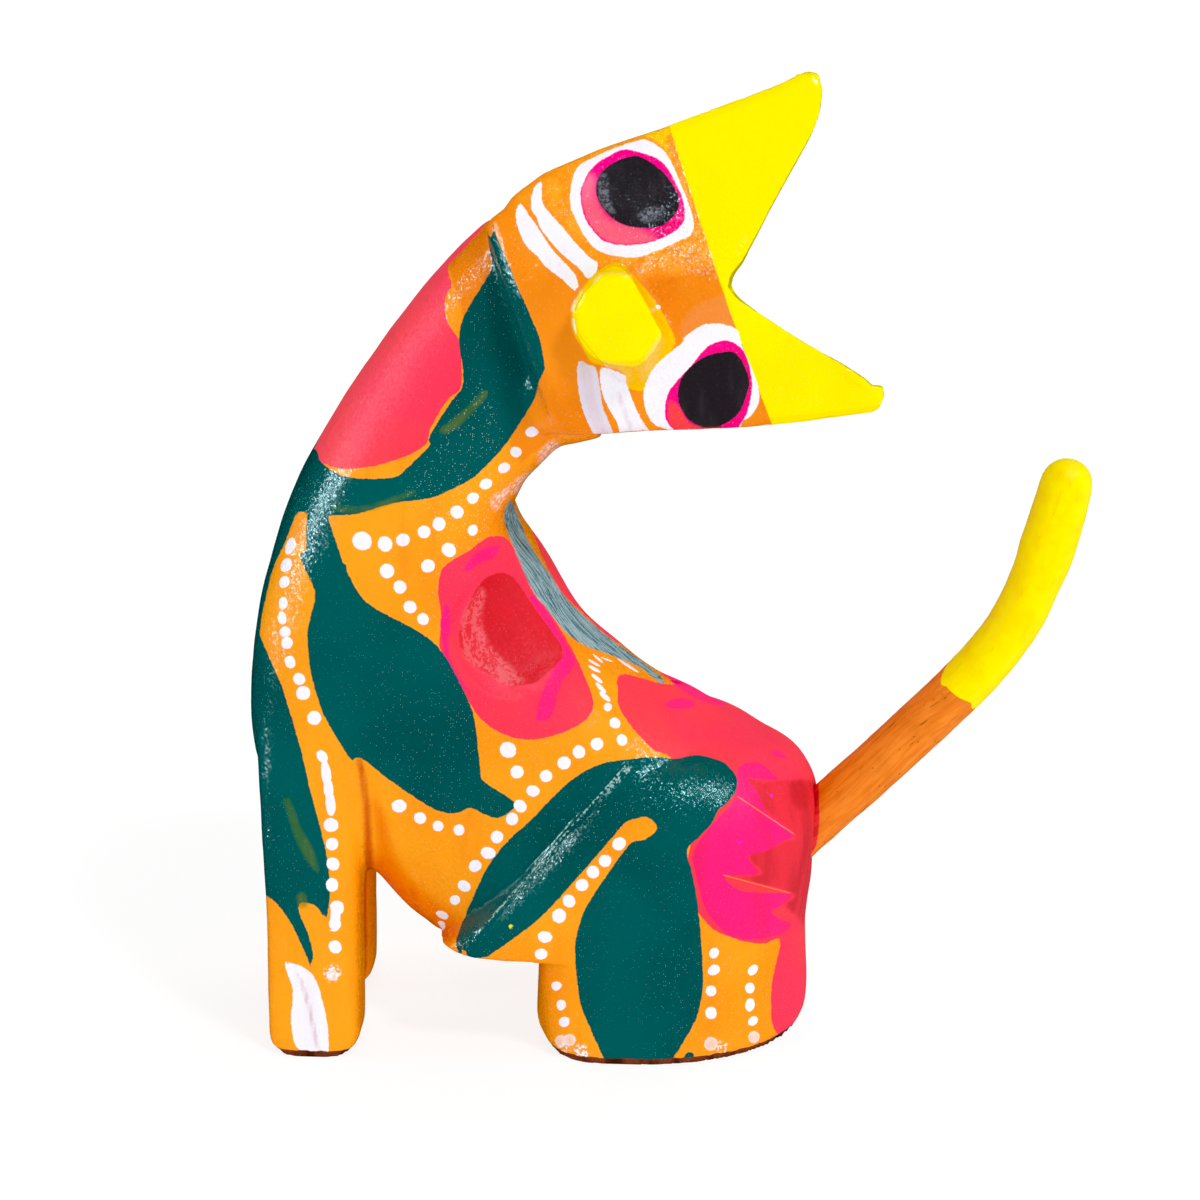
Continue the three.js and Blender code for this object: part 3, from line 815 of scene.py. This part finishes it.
def dot_numbers(piece):
    """For every point, its place in the nearest dot of each group, in radii of that dot."""
    bm = bmesh.new()
    bm.from_mesh(piece.data)
    dots = dot_middles(BVHTree.FromBMesh(bm))
    bm.free()
    groups = [[] for _ in range(DOT_GROUPS)]
    for dot in dots:
        room = [min([(dot[0] - other[0]).length for other in group], default=1.0) for group in groups]
        groups[int(np.argmax(room))].append(dot)
    points = points_of(piece)
    for g, group in enumerate(groups):
        middles = np.array([dot[0] for dot in group])
        nearest, _ = nearest_of(middles, points)
        shapes = []
        for _, normal, long, wide in group:
            thick = normal * max(long.length, wide.length) * DOT_DEPTH
            shapes.append(np.linalg.inv(np.array([long, wide, thick]).T))
        offset = np.einsum("nij,nj->ni", np.array(shapes)[nearest], points - middles[nearest])
        add_vector(piece, f"dot_{g}", offset)
        add_number(piece, f"dot_reach_{g}", np.minimum(np.linalg.norm(offset, axis=1), 9))


class Shader:
    """A material's nodes, made by short calls."""

    def __init__(self, name):
        self.material = bpy.data.materials.new(name)
        self.material.use_nodes = True
        self.nodes = self.material.node_tree.nodes
        self.links = self.material.node_tree.links
        self.shader = self.nodes["Principled BSDF"]

    def put(self, socket, value):
        if isinstance(value, bpy.types.NodeSocket):
            self.links.new(value, socket)
        elif value is not None:
            socket.default_value = value

    def set(self, name, value):
        self.put(self.shader.inputs[name], value)

    def number(self, name):
        made = self.nodes.new("ShaderNodeAttribute")
        made.attribute_name = name
        return made.outputs["Fac"]

    def vector(self, name):
        made = self.nodes.new("ShaderNodeAttribute")
        made.attribute_name = name
        return made.outputs["Vector"]

    def place(self):
        return self.nodes.new("ShaderNodeTexCoord").outputs["Object"]

    def turned(self, place, angle):
        """The place after a turn about the y axis."""
        made = self.nodes.new("ShaderNodeMapping")
        self.put(made.inputs["Vector"], place)
        made.inputs["Rotation"].default_value = (0, angle, 0)
        return made.outputs["Vector"]

    def math(self, operation, a, b=None, c=None, clamp=False):
        made = self.nodes.new("ShaderNodeMath")
        made.operation = operation
        made.use_clamp = clamp
        for socket, value in zip(made.inputs, (a, b, c)):
            self.put(socket, value)
        return made.outputs[0]

    def times(self, a, b):
        return self.math("MULTIPLY", a, b)

    def plus(self, a, b):
        return self.math("ADD", a, b)

    def line(self, value, slope, start, clamp=False):
        return self.math("MULTIPLY_ADD", value, slope, start, clamp)

    def larger(self, a, b, clamp=False):
        return self.math("MAXIMUM", a, b, None, clamp)

    def size(self, value):
        return self.math("ABSOLUTE", value)

    def vector_math(self, operation, a, b=None):
        made = self.nodes.new("ShaderNodeVectorMath")
        made.operation = operation
        self.put(made.inputs[0], a)
        self.put(made.inputs[1], b)
        return made.outputs["Value" if operation in ("LENGTH", "DOT_PRODUCT") else "Vector"]

    def noise(self, place, scale, detail=2.0, roughness=0.5, stretch=None, distortion=0.0):
        if stretch is not None:
            place = self.vector_math("MULTIPLY", place, stretch)
        made = self.nodes.new("ShaderNodeTexNoise")
        self.put(made.inputs["Vector"], place)
        made.inputs["Scale"].default_value = scale
        made.inputs["Detail"].default_value = detail
        made.inputs["Roughness"].default_value = roughness
        made.inputs["Distortion"].default_value = distortion
        return made.outputs["Fac"]

    def cells(self, place, scale):
        """Scattered cells: the distance to a cell's middle, in cells, and a random vector for each cell."""
        made = self.nodes.new("ShaderNodeTexVoronoi")
        self.put(made.inputs["Vector"], place)
        made.inputs["Scale"].default_value = scale
        return made.outputs["Distance"], made.outputs["Color"]

    def joined(self, x, y, z):
        made = self.nodes.new("ShaderNodeCombineXYZ")
        for socket, value in zip(made.inputs, (x, y, z)):
            self.put(socket, value)
        return made.outputs[0]

    def part(self, vector, axis):
        made = self.nodes.new("ShaderNodeSeparateXYZ")
        self.put(made.inputs[0], vector)
        return made.outputs[axis]

    def between(self, value, low, high):
        """0 below low, 1 above high, and a smooth rise between."""
        made = self.nodes.new("ShaderNodeMapRange")
        made.interpolation_type = "SMOOTHSTEP"
        self.put(made.inputs["Value"], value)
        made.inputs["From Min"].default_value = low
        made.inputs["From Max"].default_value = high
        return made.outputs["Result"]

    def mix(self, amount, a, b):
        made = self.nodes.new("ShaderNodeMix")
        made.data_type = "RGBA"
        self.put(made.inputs["Factor"], amount)
        self.put(made.inputs[6], a)
        self.put(made.inputs[7], b)
        return made.outputs[2]

    def bump(self, height, distance, strength=1.0, normal=None):
        made = self.nodes.new("ShaderNodeBump")
        made.inputs["Strength"].default_value = strength
        made.inputs["Distance"].default_value = distance
        self.put(made.inputs["Height"], height)
        self.put(made.inputs["Normal"], normal)
        return made.outputs["Normal"]


# Each paint: two tones, the noise that leads from one to the other, and between which of its values
TONES = {
    "orange": ((255, 163, 34), (250, 148, 26), "broad", 0.35, 0.7),
    "face": ((249, 146, 32), (240, 132, 22), "broad", 0.4, 0.7),
    # sheen: the brow's painted highlight
    "sheen": ((254, 168, 40), (250, 150, 30), "patchy", 0.4, 0.62),
    # painted shade below the brow
    "brow_shade": ((243, 136, 26), (234, 122, 18), "streaks", 0.4, 0.7),
    # painted shade under the belly
    "painted_belly_shade": ((242, 124, 16), (232, 110, 12), "streaks", 0.4, 0.7),
    # the heart's painted highlight
    "painted_heart_sheen": ((240, 104, 112), (230, 44, 62), "mottled", 0.46, 0.55),
    # gloss: the pupils' painted highlights
    "gloss": ((136, 140, 152), (70, 68, 74), "speckly", 0.42, 0.56),
    "pale": ((242, 142, 68), (234, 130, 54), "streaks", 0.4, 0.7),
    # painted shade in the leg crease and between the legs
    "leg_shade": ((204, 82, 24), (176, 60, 18), "streaks", 0.4, 0.65),
    "bare": ((255, 216, 196), (244, 158, 104), "speckly", 0.42, 0.56),
    "coral": ((254, 52, 70), (252, 42, 80), "broad", 0.4, 0.65),
    "shade": ((228, 30, 52), (208, 22, 42), "streaks", 0.4, 0.7),
    "dark": ((176, 6, 22), (196, 10, 28), "streaks", 0.4, 0.7),
    "crimson": ((232, 14, 40), (212, 8, 32), "broad", 0.4, 0.7),
    "magenta": ((255, 0, 118), (254, 0, 100), "streaks", 0.45, 0.72),
    "violet": ((226, 0, 226), (240, 40, 200), "streaks", 0.4, 0.7),
    "teal": ((0, 92, 92), (0, 82, 82), "broad", 0.35, 0.7),
    "olive": ((104, 122, 20), (70, 112, 40), "streaks", 0.4, 0.65),
    # the back's stroke, partly a painted sheen
    "back_stroke_sheen": ((160, 192, 200), (76, 118, 132), "along_back", 0.42, 0.62),
    "white": ((246, 243, 251), (240, 230, 242), "streaks", 0.5, 0.8),
    # painted shade on the lower whisker
    "whisker_shade": ((226, 220, 234), (216, 204, 222), "streaks", 0.45, 0.75),
    "scratch": ((226, 204, 214), (214, 176, 180), "streaks", 0.45, 0.7),
    "iris": ((250, 16, 140), (240, 20, 120), "broad", 0.42, 0.62),
    "blush": ((253, 118, 152), (255, 100, 124), "broad", 0.42, 0.62),
    "ember": ((246, 66, 80), (250, 70, 66), "broad", 0.42, 0.62),
    "black": ((44, 40, 44), (54, 50, 54), "streaks", 0.45, 0.75),
    # amber paint by the ear, and painted shade on the nose's sides
    "amber_and_nose_shade": ((252, 200, 0), (242, 182, 4), "broad", 0.4, 0.7),
    "yellow": ((255, 236, 0), (254, 226, 0), "broad", 0.45, 0.8),
    "rim": ((190, 118, 40), (112, 62, 26), "streaks", 0.4, 0.6),
    "sole": ((128, 62, 40), (76, 36, 26), "streaks", 0.4, 0.65),
}
# Streaks of the brush in three of them: how much, in which colour, and between which values of the noise
BRUSHED = {
    "orange": (0.3, (230, 116, 26), 0.5, 0.8),
    "coral": (0.35, (240, 32, 54), 0.5, 0.8),
    "teal": (0.3, (10, 104, 92), 0.6, 0.85),
}

# The layers of paint from the lowest up: the layer, how soft its edge is in pixels, and how well it covers
COATS = [
    ("face", 0.5, 1.0), ("sheen", 14.0, 0.9), ("brow_shade", 5.0, 0.9), ("pale", 3.0, 0.8), ("painted_belly_shade", 8.0, 0.9),
    ("leg_shade", 3.0, 0.9), ("coral", 0.45, 1.0), ("shade", 3.0, 0.85), ("dark", 4.0, 0.5),
    ("touches", 1.6, 1.0), ("crimson", 0.7, 1.0), ("painted_heart_sheen", 4.0, 0.8), ("magenta", 0.45, 1.0),
    ("violet", 0.6, 0.9), ("teal", 0.45, 1.0), ("olive", 3.0, 0.6), ("back_stroke_sheen", 0.7, 1.0), ("amber_and_nose_shade", 0.9, 1.0),
    ("yellow", 0.7, 1.0), ("rim", 0.6, 1.0), ("white", 0.45, 1.0), ("outer", 0.45, 1.0),
    ("inner", 0.45, 1.0), ("whisker_shade", 0.45, 1.0), ("streak", 1.5, 0.6), ("scratch", 2.0, 0.6),
    ("iris", 0.5, 1.0), ("blush", 5.0, 0.9), ("ember", 2.0, 0.9), ("black", 0.45, 1.0), ("gloss", 3.0, 0.6),
]
COLOUR_OF = {"touches": "magenta", "outer": "white", "inner": "white", "streak": "scratch"}
# The pale colour of a highlight painted along the thigh's crest
CREST_HIGHLIGHT = (190, 226, 222)
# Pale specks in the varnish, partly painted glints
PALE_SPECK_AND_GLINT = (240, 250, 248)
STROKE_LEAN = math.radians(40)
SHINE = 0.35
FLAKE_LEAN = 0.26


def paint_noises(s, place):
    """The noises that the paints share."""
    patchy = s.noise(place, 560, 3, 0.6, stretch=(1.0, 1.0, 0.5))
    speckly = s.noise(place, 1700, 2, 0.6)
    return {
        "streaks": s.noise(place, 260, 3, 0.6, stretch=(1.0, 1.0, 0.12)),
        "broad": s.noise(place, 45, 2),
        "along_back": s.noise(s.turned(place, STROKE_LEAN), 1700, 3, 0.7, stretch=(1.0, 1.0, 0.05)),
        "patchy": patchy,
        "speckly": speckly,
        "mottled": s.line(patchy, 0.5, s.times(speckly, 0.5)),
    }


def fresh_paints(s, noises):
    """The paints, each with its brush marks."""
    paints = {}
    for name, (first, second, kind, low, high) in TONES.items():
        paints[name] = s.mix(s.between(noises[kind], low, high), srgb(*first), srgb(*second))
    for name, (amount, darker, low, high) in BRUSHED.items():
        brushed = s.times(s.between(noises["streaks"], low, high), amount)
        paints[name] = s.mix(brushed, paints[name], srgb(*darker))
    return paints


def covers(s, name, edge, wobble):
    return s.between(s.plus(s.number(name), wobble), -edge, edge)


def coated(s, paints, noises, wobble):
    """The colour of the painting, layer over layer, without its dots."""
    torn = s.between(noises["patchy"], 0.34, 0.42)
    colour = s.mix(s.times(covers(s, "bare", 3.0, wobble), torn), paints["orange"], paints["bare"])
    for name, edge, cover in COATS:
        amount = covers(s, name, edge, wobble)
        if cover < 1:
            amount = s.times(amount, s.line(noises["streaks"], 0.5, cover - 0.25, clamp=True))
        colour = s.mix(amount, colour, paints[COLOUR_OF.get(name, name)])
    return colour


def along_line(s, name, value, gap, past):
    """The value, but only near a straight line and up to its ends."""
    value = s.times(value, s.between(s.number(f"{name}_gap"), *gap))
    return s.times(value, s.between(s.part(s.vector(name), "Z"), *past))


def slits(s, wobble):
    """Where the fan of petals is slit."""
    across = s.size(s.plus(s.part(s.vector("slit"), "X"), s.times(wobble, 0.3)))
    return along_line(s, "slit", s.between(across, 0.9, 0.2), (5, 3), (1, -2))


def painted_crest_highlight(s, speckly):
    """Where a highlight is painted pale along the crest of the thigh, and beside it."""
    across = s.part(s.vector("crest"), "X")
    down = s.part(s.vector("crest"), "Y")
    on_line = s.between(s.size(across), 1.5, 0.3)
    beside = s.between(s.size(s.plus(across, 3.6)), 4.4, 1.0)
    beside = s.times(beside, s.between(down, 62, 18))
    highlighted = s.times(s.larger(on_line, beside), s.between(speckly, 0.46, 0.58))
    return along_line(s, "crest", highlighted, (10, 7), (1, -6))


def dots_and_domes(s, wobble):
    """Where there is a dot, and how the paint swells in it."""
    dotted = 0.0
    dome = 0.0
    for g in range(DOT_GROUPS):
        out = s.vector_math("LENGTH", s.vector(f"dot_{g}"))
        there = s.math("LESS_THAN", s.number(f"dot_reach_{g}"), DOT_REACH)
        dotted = s.larger(dotted, s.times(there, s.between(s.line(wobble, 0.12, out), 1.05, 0.95)))
        dome = s.larger(dome, s.times(there, s.between(out, 1.04, 0.6)))
    return dotted, dome


def worn_white(s, noises, wobble):
    """Where dots are worn down to a thin ring, and where white is scuffed on."""
    worn = s.times(covers(s, "worn", 0.6, wobble), noises["patchy"])
    ring = s.between(s.size(s.plus(s.number("worn"), -1.0)), 1.0, 0.3)
    worn = s.larger(worn, s.times(ring, 0.7), clamp=True)
    scuffed = s.times(s.between(s.number("scuff"), -2, 3), s.between(noises["speckly"], 0.5, 0.56))
    return s.larger(worn, scuffed)


def specks_and_painted_glints(s, place, colour, broad, calm):
    """Fine pale specks in the varnish, in two sizes, partly painted glints: dense in the painted glint zones
    and few where it is calm.
    """
    painted_glints = s.between(s.number("painted_glints"), -8, 14)
    thick = s.times(s.between(broad, 0.3, 0.7), s.between(s.number("black"), 4, -4))
    thick = s.times(thick, s.line(calm, -0.7, 1.0))
    thick = s.line(painted_glints, 0.45, s.times(thick, 0.5))
    for scale, size, kept in ((1500, 0.11, 0.78), (3000, 0.25, 0.66)):
        gap, flake = s.cells(place, scale)
        chance = s.line(painted_glints, 0.14, s.part(flake, "X"))
        spot = s.between(s.line(painted_glints, -0.03, gap), size, size * 0.4)
        speck = s.times(spot, s.between(chance, kept, kept + 0.16))
        speck = s.times(speck, s.line(thick, 0.8, 0.04, clamp=True))
        colour = s.mix(speck, colour, srgb(*PALE_SPECK_AND_GLINT))
    return colour, flake


def paint_relief(s, place, dome, calm):
    """The height of the paint: grit, the lines of brush and knife, dots, the crest and the groove."""
    grit = s.times(s.noise(place, 1900, 3, 0.7), s.line(calm, -0.04, 0.08))
    lines = s.noise(place, 600, 2, 0.6, stretch=(1.0, 1.0, 0.14))
    depth = s.line(s.between(s.number("crimson"), -1, 1), 0.2, 0.05)
    depth = s.line(s.between(s.number("shade"), -12, 12), 0.12, depth)
    relief = s.line(lines, depth, grit)
    relief = s.line(dome, 0.05, relief)
    relief = s.line(s.between(s.size(s.number("crimson")), 2.2, 0.2), 0.04, relief)
    for name, near, depth in (("crest", 6.0, 0.22), ("groove", 3.5, -0.2)):
        edge = s.between(s.size(s.part(s.vector(name), "X")), near, 0.0)
        relief = s.line(along_line(s, name, edge, (10, 6), (2, -12)), depth, relief)
    return relief


def flaky_normal(s, relief, flake, smooth):
    """The relief's normal, which leans another way in each flake of the varnish, so that it glints."""
    lean = s.vector_math("MULTIPLY", s.vector_math("SUBTRACT", flake, (0.5,) * 3), (FLAKE_LEAN,) * 3)
    plain = s.line(smooth, -0.85, 1.0)
    lean = s.vector_math("MULTIPLY", lean, s.joined(plain, plain, plain))
    return s.vector_math("NORMALIZE", s.vector_math("ADD", s.bump(relief, MM), lean))


def paint_material():
    s = Shader("painted wood")
    place = s.place()
    wobble = s.plus(s.line(s.noise(place, 900, 1), 1.6, -0.8), s.line(s.noise(place, 2600, 0), 1.0, -0.5))
    noises = paint_noises(s, place)
    paints = fresh_paints(s, noises)
    colour = coated(s, paints, noises, wobble)
    colour = s.mix(s.times(slits(s, wobble), 0.7), colour, paints["pale"])
    # A highlight painted along the thigh's crest
    colour = s.mix(s.times(painted_crest_highlight(s, noises["speckly"]), 0.75), colour, srgb(*CREST_HIGHLIGHT))
    dotted, dome = dots_and_domes(s, wobble)
    colour = s.mix(dotted, colour, paints["white"])
    colour = s.mix(worn_white(s, noises, wobble), colour, paints["white"])
    ragged = s.line(noises["patchy"], 0.9 * MM, s.part(place, "Z"))
    colour = s.mix(s.between(ragged, 1.75 * MM, 1.6 * MM), colour, paints["sole"])

    smooth = s.between(s.number("yellow"), -1, 1)
    on_coral = s.times(s.between(s.number("coral"), -1, 1), s.between(s.number("teal"), 1, -1))
    calm = s.larger(on_coral, smooth)
    colour, flake = specks_and_painted_glints(s, place, colour, noises["broad"], calm)
    s.set("Base Color", colour)
    relief = paint_relief(s, place, dome, calm)
    s.set("Normal", flaky_normal(s, relief, flake, smooth))
    rough = s.line(on_coral, 0.42, s.line(noises["broad"], 0.1, 0.11))
    s.set("Roughness", s.line(s.between(s.number("black"), -1, 1), -0.03, rough))
    s.set("Specular IOR Level", SHINE)
    return s.material


def make_body():
    piece, sharp, crisp = own_copy("cat_body", "painted_cat")
    voxelled(piece, BODY_VOXEL)
    soften(piece, outside_heart(sharp), outside_heart(crisp), BODY_VOXEL)
    trim(piece, BODY_TRIMS)
    tuck_notch(piece)
    carve_unevenly(piece, 0.16 * MM, 11 * MM)
    gouge_heart(piece)
    paint_numbers(piece)
    dot_numbers(piece)
    piece.data.materials.append(paint_material())
    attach(piece, "root")
    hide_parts("cat_body")


# The tail's line in the plane y = 0: where it comes out, where it leans over, and its tip
TAIL_LINE = [
    (810, 815), (832, 800), (873, 763), (915, 724), (962, 691), (1005, 640), (1040, 570), (1062, 500),
    (1068, 462),
]
TAIL_YELLOW = [
    (942, 674), (948, 688), (958, 697), (970, 702), (986, 703), (1100, 620), (1120, 440), (1020, 430),
    (980, 600),
]
TAIL_CORAL = [(800, 760), (817, 780), (819, 800), (819, 826), (814, 850), (800, 850)]


def on_middle_plane(pixel):
    """The point of the plane y = 0 that a pixel shows."""
    ray = np.array(ray_through(pixel))
    return EYE - ray * (EYE[1] / ray[1])


def tail_numbers(piece):
    """For every point of the tail, its place across and along the stick, and its depth in the paint."""
    line = np.array([on_middle_plane(pixel) for pixel in curve_through(TAIL_LINE, closed=False, steps=12)])
    steps = np.linalg.norm(np.diff(line, axis=0), axis=1)
    walked = np.concatenate([[0], np.cumsum(steps)])
    points = points_of(piece)
    nearest, _ = nearest_of(line, points)
    ahead = np.minimum(nearest + 1, len(line) - 1)
    behind = np.maximum(nearest - 1, 0)
    tangent = line[ahead] - line[behind]
    tangent /= np.linalg.norm(tangent, axis=1)[:, None]
    offset = points - line[nearest]
    along = walked[nearest] + np.einsum("ni,ni->n", offset, tangent)
    across = offset - tangent * np.einsum("ni,ni->n", offset, tangent)[:, None]
    beside = np.cross(tangent, [0.0, 1.0, 0.0])
    sideways = np.einsum("ni,ni->n", across, beside)
    add_vector(piece, "stick", np.stack([sideways, points[:, 1], along], -1))
    pixels = picture_of(points)
    add_number(piece, "yellow", inside_by(TAIL_YELLOW, pixels))
    add_number(piece, "coral", inside_by(TAIL_CORAL, pixels))


TAIL_SHINE = 0.12


def bare_stick(s, stick, grain, fine, cracks, pit):
    """The stick's wood, with its grain, dark patches, cracks and pits."""
    wood = s.mix(s.between(grain, 0.36, 0.68), srgb(246, 142, 46), srgb(230, 122, 32))
    wood = s.mix(s.times(s.between(fine, 0.52, 0.7), 0.35), wood, srgb(196, 96, 20))
    broad = s.noise(stick, 140, 2)
    wood = s.mix(s.times(s.between(broad, 0.45, 0.7), 0.35), wood, srgb(206, 104, 20))
    wood = s.mix(s.times(cracks, 0.6), wood, srgb(120, 56, 20))
    return s.mix(s.times(pit, 0.6), wood, srgb(110, 50, 20))


def tail_material():
    s = Shader("stick wood")
    stick = s.vector("stick")
    wobble = s.line(s.noise(stick, 700, 2), 2.0, -1.0)
    grain = s.noise(stick, 1300, 4, 0.6, stretch=(1.0, 1.0, 0.1))
    fine = s.noise(stick, 3400, 2, 0.6, stretch=(1.0, 1.0, 0.08))
    cracks = s.between(s.noise(stick, 1500, 2, 0.5, stretch=(1.0, 1.0, 0.1)), 0.68, 0.72)
    gap, chance = s.cells(stick, 900)
    pit = s.times(s.between(gap, 0.2, 0.08), s.between(s.part(chance, "X"), 0.7, 0.9))
    wood = bare_stick(s, stick, grain, fine, cracks, pit)
    yellow = s.mix(s.between(s.noise(stick, 300, 2), 0.4, 0.7), srgb(255, 234, 0), srgb(254, 224, 0))
    coral = s.mix(s.between(grain, 0.4, 0.6), srgb(240, 60, 60), srgb(214, 40, 48))
    painted = covers(s, "yellow", 0.5, wobble)
    colour = s.mix(covers(s, "coral", 0.6, wobble), wood, coral)
    s.set("Base Color", s.mix(painted, colour, yellow))
    s.set("Roughness", s.line(grain, 0.25, 0.33))
    s.set("Specular IOR Level", TAIL_SHINE)
    coarse = s.line(cracks, -0.06, s.line(fine, 0.035, s.times(grain, 0.07)))
    coarse = s.line(painted, 0.06, s.line(pit, -0.05, coarse))
    s.set("Normal", s.bump(coarse, MM))
    return s.material


def make_tail():
    piece, sharp, crisp = own_copy("tail", "bent_tail")
    voxelled(piece, TAIL_VOXEL)
    soften(piece, sharp, crisp, TAIL_VOXEL)
    trim(piece, TAIL_TRIMS)
    carve_unevenly(piece, 0.12 * MM, 5 * MM)
    tail_numbers(piece)
    piece.data.materials.append(tail_material())
    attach(piece, "root")
    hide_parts("tail")


FLOOR_RADIUS = 8.0
FLOOR_GREY = (0.2, 0.2, 0.2, 1)
FLOOR_GLOW = 0.84


def make_floor():
    """A pale floor, which the varnish doesn't mirror."""
    bm = bmesh.new()
    bmesh.ops.create_circle(bm, cap_ends=True, radius=FLOOR_RADIUS, segments=96)
    mesh = bpy.data.meshes.new("floor")
    bm.to_mesh(mesh)
    bm.free()
    floor = linked("floor", mesh)
    s = Shader("pale floor")
    s.set("Base Color", FLOOR_GREY)
    s.set("Emission Color", (1, 1, 1, 1))
    s.set("Emission Strength", FLOOR_GLOW)
    s.set("Roughness", 0.8)
    s.set("Specular IOR Level", 0.1)
    mesh.materials.append(s.material)
    floor.visible_glossy = False


def make_light(name, towards, strength, spread, gloss=True, fill=True, colour=(1, 1, 1)):
    """A soft far light that shines from the direction given, in the gloss, on the matt colour, or both."""
    data = bpy.data.lights.new(name, "SUN")
    data.energy = strength
    data.angle = math.radians(spread)
    data.color = colour
    light = linked(name, data)
    light.rotation_euler = Vector(towards).to_track_quat("Z", "Y").to_euler()
    light.visible_glossy = gloss
    light.visible_diffuse = fill


# The white walls: between which heights they fade, and how bright they are below and above
WALLS = {"From Min": 0.25, "From Max": 0.65, "To Min": 1.04, "To Max": 0.27}


def make_world():
    """White walls all round, darker above. The varnish mirrors the lights only."""
    world = bpy.data.worlds.new("studio")
    world.use_nodes = True
    nodes = world.node_tree.nodes
    links = world.node_tree.links
    height = nodes.new("ShaderNodeSeparateXYZ")
    fade = nodes.new("ShaderNodeMapRange")
    fade.interpolation_type = "SMOOTHSTEP"
    for name, value in WALLS.items():
        fade.inputs[name].default_value = value
    links.new(nodes.new("ShaderNodeTexCoord").outputs["Generated"], height.inputs[0])
    links.new(height.outputs["Z"], fade.inputs["Value"])
    links.new(fade.outputs["Result"], nodes["Background"].inputs["Strength"])
    nodes["Background"].inputs["Color"].default_value = (1, 1, 1, 1)
    world.cycles_visibility.glossy = False
    bpy.context.scene.world = world


GLINT = (0.55, 0.92, 1.0)
BLACK_POINT = 0.01


def make_studio():
    make_light("front", (0.46, -0.5, 0.78), 1.15, 10, gloss=False)
    make_light("left", (-0.97, -0.09, 0.22), 0.75, 10, gloss=False)
    make_light("right", (0.82, -0.56, 0.1), 0.32, 12, gloss=False)
    make_light("top", (0.3, 0.4, 0.9), 0.8, 50, gloss=False)
    make_light("front glint", (0.33, -0.5, 0.8), 2.7, 5, fill=False, colour=GLINT)
    make_light("left glint", (-0.97, -0.09, 0.22), 2.3, 7, fill=False, colour=GLINT)
    make_light("left sheen", (-0.93, -0.2, 0.25), 0.7, 24, fill=False)
    make_world()
    look = bpy.context.scene.view_settings
    look.view_transform = "Standard"
    look.use_curve_mapping = True
    look.curve_mapping.black_level = (BLACK_POINT, BLACK_POINT, BLACK_POINT)
    look.curve_mapping.update()


def make_camera():
    data = bpy.data.cameras.new("camera")
    data.sensor_width = 36
    data.lens = data.sensor_width * VIEW_DISTANCE / VIEW_WIDTH
    camera = linked("camera", data)
    camera.location = EYE
    camera.rotation_mode = "QUATERNION"
    camera.rotation_quaternion = Vector(-BACK).to_track_quat("-Z", "Y")
    bpy.context.scene.camera = camera


make_body()
make_tail()
make_floor()
make_studio()
make_camera()
